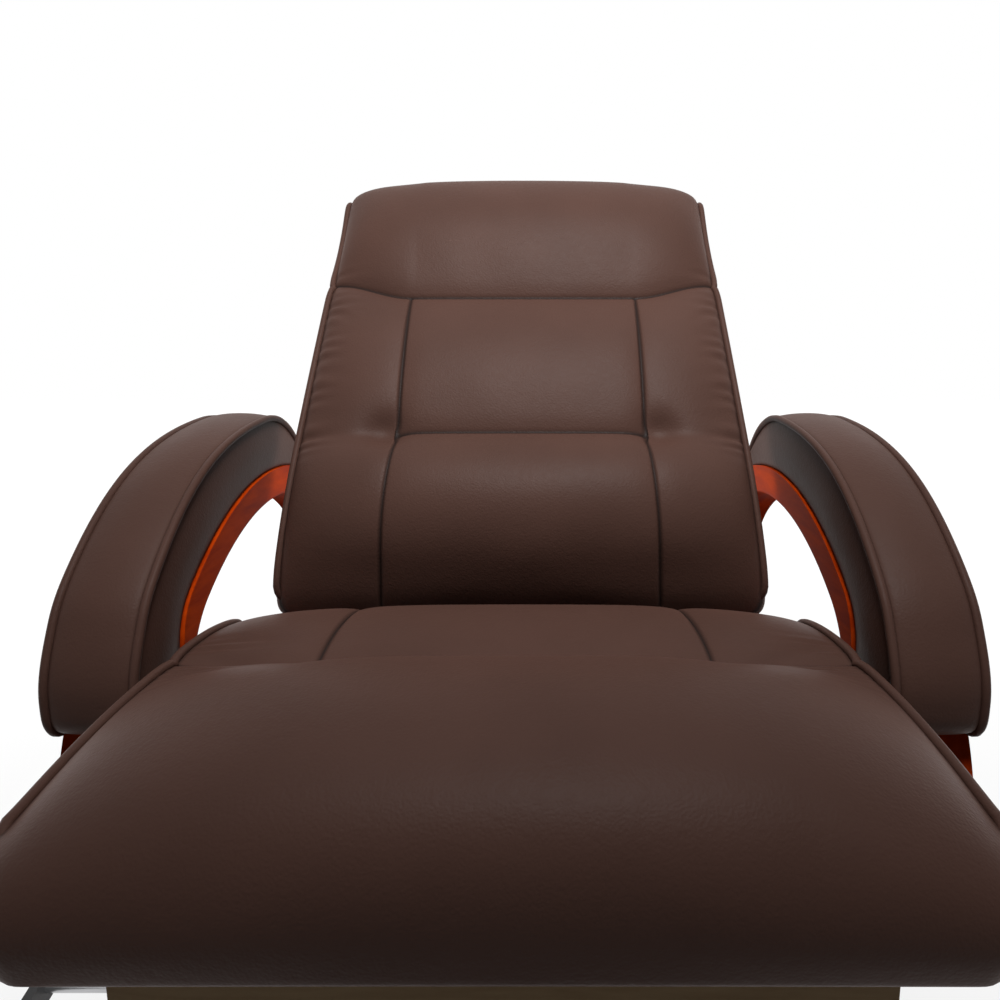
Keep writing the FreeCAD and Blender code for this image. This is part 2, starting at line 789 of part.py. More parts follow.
def back_point(x, s, n):
    y = back_origin_y + s * math.sin(lean) - n * math.cos(lean)
    z = back_origin_z + s * math.cos(lean) + n * math.sin(lean)
    return Vector(x, y, z)


def back_half_width(s):
    share = (s - back_low_s) / back_length
    return (back_low_width + (back_top_width - back_low_width) * share) / 2


def back_section(side_share, full_share):
    """Side view of the back cushion at one share of its half width."""
    points = []
    for edge, centre in zip(back_edge_shares, back_centre_shares):
        along, depth = blend(edge, centre, full_share)
        s = back_low_s + along * back_length
        points.append(back_point(side_share * back_half_width(s), s, (depth - 1) * back_edge_thickness))
    low, under, lumbar_low, lumbar, low_seam, panel, high_seam, head, top_front, top, top_rear = points
    low_rear = back_point(side_share * back_half_width(back_low_s), back_low_s, -back_edge_thickness)
    steps = ((under, lumbar_low), (lumbar, low_seam), (panel, high_seam), (head, top_front), (top, top_rear),
             (low_rear,), (low,))
    return joined(low, steps)


def back_box(x_from, x_to, s_from, s_to, n_from, n_to):
    """Box square to the back."""
    places = ((s_from, n_from), (s_to, n_from), (s_to, n_to), (s_from, n_to))
    corners = [back_point(x_from, s, n) for s, n in places]
    face = Part.Face(Part.makePolygon(corners + corners[:1]))
    return face.extrude(Vector(x_to - x_from, 0, 0))


def back_corner():
    """What is cut off a low corner of the back cushion to round it."""
    size = back_corner_round
    x = back_half_width(back_low_s + size) - size
    rear, front = -back_edge_thickness - overrun, back_edge_thickness
    s = back_low_s + size
    block = back_box(x, x + 2 * size, back_low_s - overrun, s, rear, front)
    return block.cut(rod_between(back_point(x, s, rear), back_point(x, s, front), size))


def back_cushion():
    cushion = Part.makeLoft([back_section(*row) for row in across_both(back_section_shares)], True, False)
    corner = back_corner()
    return cushion.cut(corner).cut(mirrored(corner))


def bar_bolt_places():
    """Along the stile, from its foot to the top of the back bar."""
    return [back_low_s + share * (bar_top_s - back_low_s) for share in bar_bolt_shares]


def bar_bolt(s, spare):
    place = back_point(0, s, stile_middle_n)
    inner = stile_outer_x - stile_width / 2
    shank = rod_x(inner, bar_outer_x, place.y, place.z, bar_bolt_radius + spare)
    if spare:
        return shank
    head_x = bar_outer_x + bar_bolt_head_height
    return shank.fuse(rod_x(bar_outer_x, head_x, place.y, place.z, bar_bolt_head_radius))


def back_stile():
    stile = back_box(stile_outer_x - stile_width, stile_outer_x, back_low_s + stile_inset, stile_top_s,
                     stile_front_n - stile_depth, stile_front_n)
    for s in bar_bolt_places():
        stile = stile.cut(bar_bolt(s, fit_gap))
    return stile


def back_rail(s_from):
    reach = stile_outer_x - stile_width
    return back_box(-reach, reach, s_from, s_from + back_rail_height,
                    stile_front_n - stile_depth, stile_front_n)


def back_webbing():
    """Straps across the front of the stiles."""
    room = stile_top_s - back_rail_low_s
    straps = []
    for i in range(back_strap_count):
        s = back_rail_low_s + room * (i + 0.5) / back_strap_count
        straps.append(back_box(-stile_outer_x, stile_outer_x, s - strap_width / 2, s + strap_width / 2,
                               stile_front_n, stile_front_n + strap_thickness))
    return Part.Compound(straps)


def cover_block(wall, front):
    """Tapered block as wide as the back, less the wall, with its rear edges rounded but for the low one."""
    rear = cover_wall_n + wall
    low = cover_low_s - overrun if wall else cover_low_s
    high = cover_top_s - wall
    spread = cover_inset + wall
    places = ((-1, low), (1, low), (1, high), (-1, high))
    corners = [back_point(side * (back_half_width(s) - spread), s, rear) for side, s in places]
    sides = [Part.makeLine(a, b) for a, b in zip(corners, corners[1:] + corners[:1])]
    block = Part.Face(Part.Wire(sides)).extrude(back_point(0, 0, front) - back_point(0, 0, rear))
    middles = [side.CenterOfMass for side in sides[1:]]
    rim = [edge for edge in block.Edges if min(edge.CenterOfMass.distanceToPoint(m) for m in middles) < fit_gap]
    return block.makeFillet(max(cover_edge_round - wall, fit_gap), rim)


def back_rear_cover():
    """Upholstered shell over the back of the frame, open to the front and below."""
    return cover_block(0, cover_front_n).cut(cover_block(cover_wall, cover_front_n + overrun))


def hinge_bore():
    return rod_x(seat_rail_x - overrun, bar_outer_x + overrun, hinge_y, hinge_z, hinge_pin_radius + fit_gap)


def back_bar():
    """L-shaped steel bar from the hinge to the stile."""
    corner = (bar_corner_y, bar_corner_z)
    low = back_point(0, back_low_s + 2 * stile_inset, stile_middle_n)
    top = back_point(0, bar_top_s, stile_middle_n)
    points = ((hinge_y, hinge_z), corner, (low.y, low.z), (top.y, top.z))
    bars = [capsule(bar_inner_x, bar_thickness, a, b, bar_half_width) for a, b in zip(points, points[1:])]
    eye = rod_x(bar_inner_x, bar_outer_x, hinge_y, hinge_z, leaf_eye_radius)
    bar = fused(bars + [eye])
    bar = bar.cut(hinge_bore())
    for s in bar_bolt_places():
        bar = bar.cut(bar_bolt(s, fit_gap))
    return bar


def bar_bolts():
    return both_sides([bar_bolt(s, 0) for s in bar_bolt_places()])


def cross_bar():
    """Tube between the two back bars, with the horn that works the strut."""
    tube = rod_x(-bar_inner_x, bar_inner_x, bar_corner_y, bar_corner_z, cross_bar_radius)
    horn = capsule(-horn_thickness / 2, horn_thickness, (bar_corner_y, bar_corner_z), (horn_y, horn_z),
                   horn_half_width)
    half_pin = horn_pin_length / 2
    return fused([tube, horn, rod_x(-half_pin, half_pin, horn_y, horn_z, horn_pin_radius)])


def hinge_leaf():
    """Plate on the side of the seat frame that carries the hinge pin."""
    half = leaf_length / 2
    plate = box(Vector(seat_rail_x, hinge_y - half, hinge_z),
                Vector(leaf_outer_x, min(hinge_y + half, seat_frame_rear_y), seat_frame_top))
    leaf = plate.fuse(rod_x(seat_rail_x, leaf_outer_x, hinge_y, hinge_z, leaf_eye_radius)).removeSplitter()
    return leaf.cut(hinge_bore())


def hinge_pin():
    head_x = bar_outer_x + running_gap
    pin = rod_x(seat_rail_x, head_x, hinge_y, hinge_z, hinge_pin_radius)
    return pin.fuse(rod_x(head_x, head_x + hinge_head_height, hinge_y, hinge_z, hinge_head_radius))


def hinge_pins():
    return both_sides([hinge_pin()])


def strut_along(distance):
    """Point on the strut's axis, measured from its anchor pin."""
    anchor = Vector(0, strut_anchor_y, strut_anchor_z)
    along = (Vector(0, horn_y, horn_z) - anchor).normalize()
    return anchor + along * distance


def strut_bracket():
    """Two cheeks and a base under the seat slat, for the anchor pin and the lever shaft."""
    half = bracket_length / 2
    middle = (strut_anchor_y + lever_shaft_y) / 2
    reach = bracket_gap / 2 + bracket_wall
    cheek_low = strut_anchor_z - strut_eye_radius
    outer = box(Vector(-reach, middle - half, cheek_low), Vector(reach, middle + half, seat_frame_bottom))
    hollow = box(Vector(-bracket_gap / 2, middle - half - overrun, cheek_low - overrun),
                 Vector(bracket_gap / 2, middle + half + overrun, seat_frame_bottom - bracket_wall))
    bracket = outer.cut(hollow)
    bracket = bracket.cut(rod_x(-reach - overrun, reach + overrun, strut_anchor_y, strut_anchor_z,
                                strut_pin_radius + fit_gap))
    return bracket.cut(rod_x(-reach - overrun, reach + overrun, lever_shaft_y, strut_anchor_z,
                             lever_shaft_radius + fit_gap))


def strut_pin():
    reach = bracket_gap / 2 + bracket_wall
    return rod_x(-reach, reach, strut_anchor_y, strut_anchor_z, strut_pin_radius)


def strut_cylinder():
    """Gas cylinder with the eye that turns on the anchor pin."""
    eye = rod_x(-strut_eye_width / 2, strut_eye_width / 2, strut_anchor_y, strut_anchor_z, strut_eye_radius)
    mouth = strut_eye_radius + cylinder_length
    barrel = rod_between(strut_along(strut_eye_radius - cylinder_wall), strut_along(mouth), cylinder_radius)
    bore_start = strut_along(mouth - rod_inside - cylinder_wall - stroke_room)
    bore = rod_between(bore_start, strut_along(mouth + overrun), rod_radius + fit_gap)
    pin_hole = rod_x(-strut_eye_width, strut_eye_width, strut_anchor_y, strut_anchor_z,
                     strut_pin_radius + fit_gap)
    return eye.fuse(barrel).removeSplitter().cut(bore).cut(pin_hole)


def strut_rod():
    """Rod with the fork that holds the horn's pin, with slack for the swing of the horn."""
    length = (Vector(0, horn_y, horn_z) - strut_along(0)).Length
    start = strut_along(strut_eye_radius + cylinder_length - rod_inside)
    bridge = strut_along(length - fork_reach)
    shaft = rod_between(start, bridge, rod_radius)
    gap = horn_thickness / 2 + running_gap
    reach = gap + fork_wall
    hole_radius = horn_pin_radius + strut_slack
    half = hole_radius + fork_wall
    near = (bridge.y, bridge.z)
    eye = (horn_y, horn_z)
    cheeks = capsule(-reach, 2 * reach, near, eye, half)
    cheeks = cheeks.cut(capsule(-gap, 2 * gap, polar_towards(near, eye, half), eye, half + overrun))
    hole = rod_x(-reach - overrun, reach + overrun, horn_y, horn_z, hole_radius)
    return fused([shaft, cheeks]).cut(hole)


def polar_towards(a, b, distance):
    degrees = math.degrees(math.atan2(b[1] - a[1], b[0] - a[0]))
    return polar(a, distance, degrees)


def lever_hanger():
    """Ear under the right rail of the seat frame that steadies the lever shaft."""
    half = lever_hanger_half_width
    x = -seat_rail_x + seat_rail_width / 2
    plate = box(Vector(x, lever_shaft_y - half, strut_anchor_z),
                Vector(x + lever_hanger_thickness, lever_shaft_y + half, seat_frame_bottom))
    ear = plate.fuse(rod_x(x, x + lever_hanger_thickness, lever_shaft_y, strut_anchor_z, half)).removeSplitter()
    return ear.cut(rod_x(x - overrun, x + lever_hanger_thickness + overrun, lever_shaft_y, strut_anchor_z,
                         lever_shaft_radius + fit_gap))


def lever_shaft():
    """Cross shaft with the finger that presses the strut's valve."""
    end = bracket_gap / 2 + bracket_wall
    shaft = rod_x(-lever_outer_x, end, lever_shaft_y, strut_anchor_z, lever_shaft_radius)
    finger_x = -strut_eye_width / 2
    finger = capsule(finger_x, strut_eye_width, (lever_shaft_y, strut_anchor_z),
                     (lever_shaft_y, strut_anchor_z - finger_reach), lever_shaft_radius)
    return fused([shaft, finger])


def lever_end():
    return (lever_shaft_y + lever_reach_y, strut_anchor_z + lever_reach_z)


def release_lever():
    """Flat arm on the outer end of the shaft."""
    shaft_end = (lever_shaft_y, strut_anchor_z)
    return capsule(-lever_outer_x - lever_thickness, lever_thickness, shaft_end, lever_end(), lever_half_width)


def lever_grip():
    """Moulded grip that carries on from the end of the arm."""
    y, z = lever_end()
    centre_x = -lever_outer_x - lever_thickness / 2
    along = Vector(0, lever_reach_y, lever_reach_z).normalize()
    end = Vector(centre_x, y, z)
    grip = rod_between(end + along * (lever_half_width + fit_gap), end + along * grip_length, grip_radius)
    return grip.makeFillet(grip_radius / 2, [edge for edge in grip.Edges if edge.Closed])


def nodes():
    """Every piece by name; left is +X."""
    pieces = {
        "base_ring": base_ring(),
        "long_arch": long_arch(),
        "cross_arch": cross_arch(),
        "glides": glides(),
        "ring_screws": Part.Compound([ring_screw(x, y, 0) for x, y in ring_screw_places()]),
        "swivel_lower_plate": swivel_lower_plate(),
        "plate_screws": Part.Compound([plate_screw(x, y, 0) for x, y in plate_screw_places()]),
        "thrust_bearing": thrust_bearing(),
        "king_pin": king_pin(),
        "swivel_upper_plate": swivel_upper_plate(),
        "chassis": chassis(),
        "pad_screws": pad_screws(),
        "frame_bolts": frame_bolts(),
        "seat_frame": seat_frame(),
        "seat_webbing": seat_webbing(),
        "seat_cushion": seat_cushion(),
        "hinge_pins": hinge_pins(),
        "strut_bracket": strut_bracket(),
        "strut_pin": strut_pin(),
        "lever_hanger": lever_hanger(),
        "back_cushion": back_cushion(),
        "back_top_rail": back_rail(stile_top_s - back_rail_height),
        "back_bottom_rail": back_rail(back_rail_low_s),
        "back_webbing": back_webbing(),
        "back_rear_cover": back_rear_cover(),
        "back_cross_bar": cross_bar(),
        "bar_bolts": bar_bolts(),
        "strut_cylinder": strut_cylinder(),
        "strut_rod": strut_rod(),
        "lever_shaft": lever_shaft(),
        "release_lever": release_lever(),
        "lever_grip": lever_grip(),
    }
    paired = {
        "arm_bow": arm_bow(),
        "rear_bow": rear_bow(),
        "arm_pad": arm_pad(),
        "arm_pad_board": arm_pad_board(),
        "hinge_leaf": hinge_leaf(),
        "back_stile": back_stile(),
        "back_bar": back_bar(),
    }
    for name, shape in paired.items():
        pieces["left_" + name] = shape
        pieces["right_" + name] = mirrored(shape)
    return pieces


def main():
    os.makedirs("parts", exist_ok=True)
    for name, shape in nodes().items():
        shape.exportStep("parts/" + name + ".step")


main()
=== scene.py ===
import json
import math

import bmesh
import bpy
import numpy as np
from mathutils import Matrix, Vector


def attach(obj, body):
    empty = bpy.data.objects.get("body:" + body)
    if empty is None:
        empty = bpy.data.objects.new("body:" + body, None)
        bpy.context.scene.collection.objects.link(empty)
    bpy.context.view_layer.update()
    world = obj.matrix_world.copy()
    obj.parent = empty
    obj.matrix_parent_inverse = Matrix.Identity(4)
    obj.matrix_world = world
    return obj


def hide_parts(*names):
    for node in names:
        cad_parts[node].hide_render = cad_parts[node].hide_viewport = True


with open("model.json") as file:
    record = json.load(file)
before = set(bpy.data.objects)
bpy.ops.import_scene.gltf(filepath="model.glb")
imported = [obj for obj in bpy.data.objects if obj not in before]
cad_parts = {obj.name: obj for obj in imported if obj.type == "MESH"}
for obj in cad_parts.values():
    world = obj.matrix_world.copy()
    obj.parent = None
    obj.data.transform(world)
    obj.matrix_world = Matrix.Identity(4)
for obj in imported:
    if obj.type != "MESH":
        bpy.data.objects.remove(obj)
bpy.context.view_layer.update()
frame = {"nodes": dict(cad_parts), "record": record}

# Camera, as far from the chair and as tilted as the photograph's
camera_place = (0.021, -0.80, 0.66)
camera_pitch = 10.0
camera_shift = -0.0402
camera_lens = 28.8
camera_sensor = 36.0

# Lamps: name, place, aim, width, power, spread in degrees, and whether they show in gloss
lamps = (("key", (0.12, -0.62, 2.05), (0, 0.2, 0.76), 0.6, 6.9, 76, True),
         ("rear", (-0.45, 2.1, 1.2), (0, 0.2, 0.55), 1.4, 16, 180, False),
         ("left", (1.8, 1.15, 0.5), (0.2, 0.1, 0.35), 0.8, 9, 100, False),
         ("right", (-1.8, 1.15, 0.5), (-0.2, 0.1, 0.35), 0.8, 9, 100, False))
ambient_light = 0.018

# Floor: lit as grey, and seen with a share of white glow that grows from one distance to another
floor_reach = 12.0
floor_grey = (0.35, 0.35, 0.35, 1.0)
floor_rough = 0.9
floor_glow = 1.08
floor_fade = {"From Min": 0.5, "From Max": 1.8, "To Min": 0.8, "To Max": 1.0}

# Colours, linear
white = (1.0, 1.0, 1.0, 1.0)
leather_colour = (0.084, 0.042, 0.032, 1.0)
leather_dark = (0.07, 0.0348, 0.0264, 1.0)
# Painted shade for the grooves of seams and the creases beside the piping, mixed into the leather
leather_seam_shade = (0.012, 0.007, 0.006, 1.0)
wood_light = (0.54, 0.056, 0.003, 1.0)
wood_dark = (0.30, 0.022, 0.001, 1.0)
ply_light = (0.55, 0.38, 0.21, 1.0)
ply_dark = (0.38, 0.24, 0.12, 1.0)
webbing_light = (0.05, 0.05, 0.052, 1.0)
webbing_dark = (0.012, 0.012, 0.013, 1.0)

# Surfaces: specular level, roughness from and to, and the fineness of the grain along each axis.
# Gloss sees the white background, so its levels are low.
leather_gloss = 0.08
leather_rough = (0.44, 0.56)
leather_pebble_share = 0.7
wood_gloss = 0.01
ply_gloss = 0.1
wood_rough = (0.32, 0.5)
wood_grain = (60.0, 9.0, 60.0)
ply_grain = (9.0, 60.0, 60.0)
webbing_rough = 0.8

# Powder coat, plated steel and plastic: light and dark colour, metal, roughness from and to, fineness of the grit
coatings = {
    "steel_black": ((0.03, 0.03, 0.032, 1.0), (0.014, 0.014, 0.015, 1.0), 0.0, (0.34, 0.5), 900.0),
    "steel_bright": ((0.62, 0.62, 0.63, 1.0), (0.45, 0.45, 0.46, 1.0), 1.0, (0.22, 0.4), 600.0),
    "plastic_black": ((0.035, 0.035, 0.036, 1.0), (0.018, 0.018, 0.019, 1.0), 0.0, (0.45, 0.6), 700.0),
}

# What counts as no length and as no difference of shares, and a distance beyond the reach of every seam
tiny = 1e-9
same_share = 1e-6
far = 1.0

# Piping: its tips, its rise, the depth of its sunk ends and its offset to the side are shares of its radius
piping_radius = 0.0040
piping_sides = 10
piping_end_rows = 4
piping_tip_share = 0.55
piping_rise_share = 0.3
piping_sunk_share = 2
piping_side_share = 0.1

# Seams, with close rows beside them, and the gathers, creases and dimples that they pull
seam_steps = (0.0011, 0.0032)
seam_clear = 1.5
# Width of the painted shade along a seam line
seam_shade_width = 0.0013
seam_sharp = 0.0017
seam_sharp_depth = 0.0020
seam_soft = 0.012
seam_soft_depth = 0.0015
gather_pitch = 0.0145
gather_waver = ((1.7, 61), (0.9, 143))
gather_mean = 0.65
gather_swing = 0.35
gather_rate = 97
gather_phase = 1
gather_reach = 0.030
gather_start = 0.006
gather_fade = 0.05
gather_depth = 0.0042
crease_width = 0.008
crease_start = 0.15
crease_run = 0.7
dimple_radius = 0.021
dimple_depth = 0.010
dimple_shift = 0.75

# Cloth: for cushions and for pads, the share of spare cloth and the furthest that a point moves
cloth_values = {"quality": 4, "mass": 0.25, "tension_stiffness": 12, "compression_stiffness": 12,
                "shear_stiffness": 6, "bending_stiffness": 0.4, "use_pressure": True,
                "uniform_pressure_force": 0.7}
cloth_frames = 20
cushion_cloth = (0.006, 0.008)
pad_cloth = (0.008, 0.003)
taut_rounds = 16
ease_share = 0.5

# Seat cushion; its side is given as rows and swell
seat_half = 0.288
seat_base = 0.332
seat_rear = 0.010
seat_front = -0.442
seat_thick = 0.085
seat_low_share = 0.03
seat_seam_x = 0.167
seat_seam_rear_x = 0.155
seat_columns = 84
seat_rows = (12, 34, 44, 14)
seat_side = (7, 0.004)
seat_ease_rounds = 30
seat_edge_lift = 0.5
seat_edge_draw = 0.05
seat_edge_start = 0.9
seat_power = 4
seat_gather_ahead = 0.09
seat_gather_behind = 0.06
seat_gather_stretch = 2
seat_gather_share = 0.9
seat_piping_start = 2
seat_creases = (((0.148, -0.195), (0.267, -0.133), 0.0030), ((0.180, -0.205), (0.272, -0.182), 0.0022),
                ((-0.183, -0.178), (-0.270, -0.150), 0.0026), ((-0.195, -0.128), (-0.272, -0.118), 0.0016),
                ((-0.190, -0.214), (-0.272, -0.190), 0.0020))
seat_centre_shares = ((0.02, 0.88), (0.2, 1.09), (0.385, 0.88), (0.64, 1.42), (0.94, 1.02))
seat_edge_shares = ((0.02, 0.72), (0.2, 0.88), (0.385, 0.90), (0.64, 0.87), (0.94, 0.66))

# Back cushion, in its own frame: s runs up the back, n comes out of its front
back_lean = math.radians(37.0)
back_origin = (0.016, 0.452)
back_low = -0.042
back_length = 0.612
back_low_half = 0.264
back_top_half = 0.237
back_thick = 0.070
back_seam_x = 0.138
back_seam_low_x = 0.151
back_seam_turn = 0.148
back_seam_share = 0.55
back_columns = 80
back_rows = (8, 30, 30, 36, 12)
back_side = (9, 0.005)
back_ease_rounds = 14
back_seam_rise = 0.027
back_corner_round = 0.020
back_waist = 0.005
back_top_row = 8
back_top_power = 3
back_gather_span = (0.10, 0.40)
back_piping_inset = 2
back_centre_shares = ((0.0, 0.3), (0.016, 0.55), (0.05, 0.82), (0.18, 1.6), (0.31, 1.25), (0.468, 1.39),
                      (0.633, 1.17), (0.80, 1.46), (0.970, 1.14), (1.010, 0.62), (0.974, 0.0))
back_edge_shares = ((0.0, 0.15), (0.018, 0.34), (0.06, 0.6), (0.18, 0.86), (0.31, 0.98), (0.468, 1.02),
                    (0.633, 0.97), (0.80, 0.80), (0.935, 0.86), (0.959, 0.45), (0.938, 0.0))
back_powers = (2.6, 2.6, 2.6, 2.6, 3.2, 4.5, 5, 5, 5, 5, 5)

# Rear shell of the back, pulled in over its last rows; corners of back and shell are flatter than a full round
corner_share = 0.8
cover_low = -0.036
cover_top = 0.530
cover_inset = 0.003
cover_front = -0.0704
cover_rear = -0.1304
cover_crown = 0.006
cover_crown_power = 4
cover_round = 0.016
cover_corner = 0.040
cover_skin = 0.003
cover_seam_s = 0.30
cover_seam_share = 0.8
cover_rows = 60
cover_columns = (6, 5, 40, 5, 6)
cover_pull = 0.004
cover_pull_rows = 4
cover_pull_depth = -0.1

# Arm pads, bent round one centre
pad_middle_x = 0.352
pad_half = 0.0358
pad_centre = (0.210, 0.0504)
pad_outer = 0.5386
pad_inner = 0.473
pad_front = -0.170
pad_inner_front = -0.0844
pad_level = 0.388
pad_low = 0.3454
pad_end_round = 0.020
pad_rear_angle = 77.0
pad_round_angle = 92.0
pad_tip_angle = 38.0
pad_rear_radius = 0.150
pad_bulge = 0.009
pad_fill = 0.008
pad_fill_angles = (94.0, 138.0)
pad_fill_level = 0.44
pad_fill_run = 0.06
pad_fill_ahead = 0.03
pad_taper_start = 0.190
pad_taper_end = 0.345
pad_taper = 0.046
pad_crown = 0.0045
pad_crown_power = 2.6
pad_edge_drop = 0.3
pad_columns = 20
pad_rows = (8, 8, 6, 14, 52, 14, 8)
pad_low_rows = (12, 14, 70)
pad_side = (9, 0.004)
pad_ease_rounds = 6
pad_piping_inset = 3


# Lines
def clamp(value):
    return min(max(value, 0), 1)


def smooth_step(value):
    value = clamp(value)
    return value * value * (3 - 2 * value)


def mix(a, b, share):
    return tuple(p + (q - p) * share for p, q in zip(a, b))


def halfway(a, b):
    return mix(a, b, 0.5)


def polar(centre, radius, degrees):
    angle = math.radians(degrees)
    return (centre[0] + radius * math.cos(angle), centre[1] + radius * math.sin(angle))


def turn(centre, radius, start, stop):
    """Middle and end of a step round a centre, between two angles in degrees."""
    return (polar(centre, radius, (start + stop) / 2), polar(centre, radius, stop))


def circle_centre(a, b, c):
    """Middle of the circle through three points, or None where they are in line."""
    d = 2 * (a[0] * (b[1] - c[1]) + b[0] * (c[1] - a[1]) + c[0] * (a[1] - b[1]))
    if abs(d) < tiny:
        return None
    squares = [p[0] ** 2 + p[1] ** 2 for p in (a, b, c)]
    x = squares[0] * (b[1] - c[1]) + squares[1] * (c[1] - a[1]) + squares[2] * (a[1] - b[1])
    y = squares[0] * (c[0] - b[0]) + squares[1] * (a[0] - c[0]) + squares[2] * (b[0] - a[0])
    return (x / d, y / d)


def arc(a, b, c, shares):
    """Points at the given shares of the way along the arc from a through b to c."""
    centre = circle_centre(a, b, c)
    if centre is None:
        return [mix(a, c, t) for t in shares]
    radius = math.hypot(a[0] - centre[0], a[1] - centre[1])
    angles = [math.atan2(p[1] - centre[1], p[0] - centre[0]) for p in (a, b, c)]
    to_b, to_c = [(t - angles[0]) % math.tau for t in angles[1:]]
    sweep = to_c if to_b < to_c else to_c - math.tau
    turned = [angles[0] + sweep * t for t in shares]
    return [(centre[0] + radius * math.cos(t), centre[1] + radius * math.sin(t)) for t in turned]


def row_shares(count, length, seam_before, seam_after):
    """Even steps along one stretch, with close rows beside each seam that it meets."""
    shares = [i / count for i in range(1, count + 1)]
    close = [step / length for step in seam_steps]
    if seam_before:
        shares = close + shares
    if seam_after:
        shares = shares[:-1] + [1 - share for share in reversed(close)] + shares[-1:]
    return shares


def profile(start, steps, counts, seams):
    """Points along arcs, and the row number at the end of each arc.

    A step is the middle and the end of an arc; seams names the arcs that end in a seam.
    """
    points = [start]
    ends = []
    for i, (middle, end) in enumerate(steps):
        length = math.dist(points[-1], middle) + math.dist(middle, end)
        shares = row_shares(counts[i], length, i - 1 in seams, i in seams)
        points += arc(points[-1], middle, end, shares)
        ends.append(len(points) - 1)
    return points, ends


def eased(points, kept, rounds):
    """Takes the corners out of a line of points, apart from its ends and the rows that are kept."""
    line = np.array(points)
    free = np.array([0 < i < len(points) - 1 and i not in kept for i in range(len(points))])
    for _ in range(rounds):
        middle = (np.roll(line, 1, axis=0) + np.roll(line, -1, axis=0)) / 2
        line[free] += ease_share * (middle - line)[free]
    return [tuple(p) for p in line]


def even_line(a, b, count):
    return [mix(a, b, i / count) for i in range(count + 1)]


def column_shares(count, seam, half_width):
    """Places across a cushion from -1 to 1, with close columns beside the two seams."""
    half = [i / count for i in range(count + 1)]
    if seam:
        close = [step / half_width for step in seam_steps]
        half = [t for t in half if abs(t - seam) > seam_clear * close[-1]]
        half += [seam] + [seam + side * step for step in close for side in (-1, 1)]
    half = sorted(half)
    return [-t for t in reversed(half[1:])] + half


def seam_columns(shares, seam):
    return [c for c, t in enumerate(shares) if abs(abs(t) - seam) < same_share]


def fullness(share, power):
    """How far a cushion has risen from its sewn edge towards its centre."""
    return math.sqrt(max(1 - abs(share) ** power, 0.0))


# Meshes
def places(mesh):
    flat = np.empty(len(mesh.vertices) * 3)
    mesh.vertices.foreach_get("co", flat)
    return flat.reshape(-1, 3)


def set_places(mesh, points):
    mesh.vertices.foreach_set("co", np.ascontiguousarray(points).ravel())
    mesh.update()


def normals(mesh):
    flat = np.empty(len(mesh.vertices) * 3)
    mesh.vertex_normals.foreach_get("vector", flat)
    return flat.reshape(-1, 3)


def smooth_faces(mesh):
    mesh.polygons.foreach_set("use_smooth", [True] * len(mesh.polygons))


def new_piece(name, points, faces, material):
    mesh = bpy.data.meshes.new(name)
    mesh.from_pydata(points, [], faces)
    mesh.materials.append(material)
    piece = bpy.data.objects.new(name, mesh)
    bpy.context.scene.collection.objects.link(piece)
    return piece


def new_cover(name, points, faces, material):
    """A piece with its faces turned outward and an attribute for the painted shade along its seam lines."""
    piece = new_piece(name, points, faces, material)
    shape = bmesh.new()
    shape.from_mesh(piece.data)
    bmesh.ops.recalc_face_normals(shape, faces=shape.faces)
    shape.to_mesh(piece.data)
    shape.free()
    # The seam attribute holds painted shade, darkest on seam lines and piped edges
    piece.data.attributes.new("seam", "FLOAT", "POINT")
    return piece


class Skin:
    """A closed sewn form: columns across it, each an upper line and a lower line that share their ends."""

    def __init__(self, name, columns, side_rows, side_swell, material):
        self.rows = len(columns[0][0])
        self.columns = len(columns)
        self.loop = 2 * self.rows - 2
        self.points = []
        self.faces = []
        for upper, lower in columns:
            self.points += list(upper) + list(reversed(lower[1:-1]))
        for c in range(self.columns - 1):
            for r in range(self.loop):
                n = (r + 1) % self.loop
                self.faces.append((self.at(c, r), self.at(c, n), self.at(c + 1, n), self.at(c + 1, r)))
        for c, side in ((0, -1), (self.columns - 1, 1)):
            self.close(c, side, columns[c], side_rows, side_swell)
        self.piece = new_cover(name, self.points, self.faces, material)

    def at(self, column, row):
        return column * self.loop + row

    def below(self, column, row):
        """The lower line's vertex under a row of the upper line."""
        return self.at(column, row if row in (0, self.rows - 1) else self.loop - row)

    def close(self, column, side, lines, side_rows, side_swell):
        """Side panel between the upper and lower lines of an end column."""
        upper, lower = lines
        ladder = []
        for r in range(self.rows):
            rung = [self.at(column, r)]
            if 0 < r < self.rows - 1:
                for j in range(1, side_rows):
                    t = j / side_rows
                    x, y, z = mix(upper[r], lower[r], t)
                    rung.append(len(self.points))
                    self.points.append((x + side * side_swell * math.sin(math.pi * t), y, z))
                rung.append(self.below(column, r))
            ladder.append(rung)
        for a, b in zip(ladder, ladder[1:]):
            if len(a) == 1:
                self.faces += [(a[0], b[j], b[j + 1]) for j in range(len(b) - 1)]
            elif len(b) == 1:
                self.faces += [(a[j], a[j + 1], b[0]) for j in range(len(a) - 1)]
            else:
                self.faces += [(a[j], b[j], b[j + 1], a[j + 1]) for j in range(len(a) - 1)]

    def edges(self):
        """Vertices of the lower lines and of the two end columns."""
        held = {self.at(c, r) for c in range(self.columns) for r in range(self.rows - 1, self.loop)}
        return held | {self.at(c, r) for c in (0, self.columns - 1) for r in range(self.loop)}

    def upper_values(self, value, other):
        """One number per vertex: value(column, row) on the upper lines, other elsewhere."""
        numbers = np.full(len(self.points), other)
        for c in range(self.columns):
            for r in range(self.rows):
                numbers[self.at(c, r)] = value(c, r)
        return numbers

    def distance_along(self, row, points):
        """Distance of every upper point from a row, measured along its own column."""
        distance = np.full(len(points), far)
        for c in range(self.columns):
            index = [self.at(c, r) for r in range(self.rows)]
            steps = np.linalg.norm(np.diff(points[index], axis=0), axis=1)
            run = np.concatenate(([0], np.cumsum(steps)))
            distance[index] = np.abs(run - run[row])
        return distance


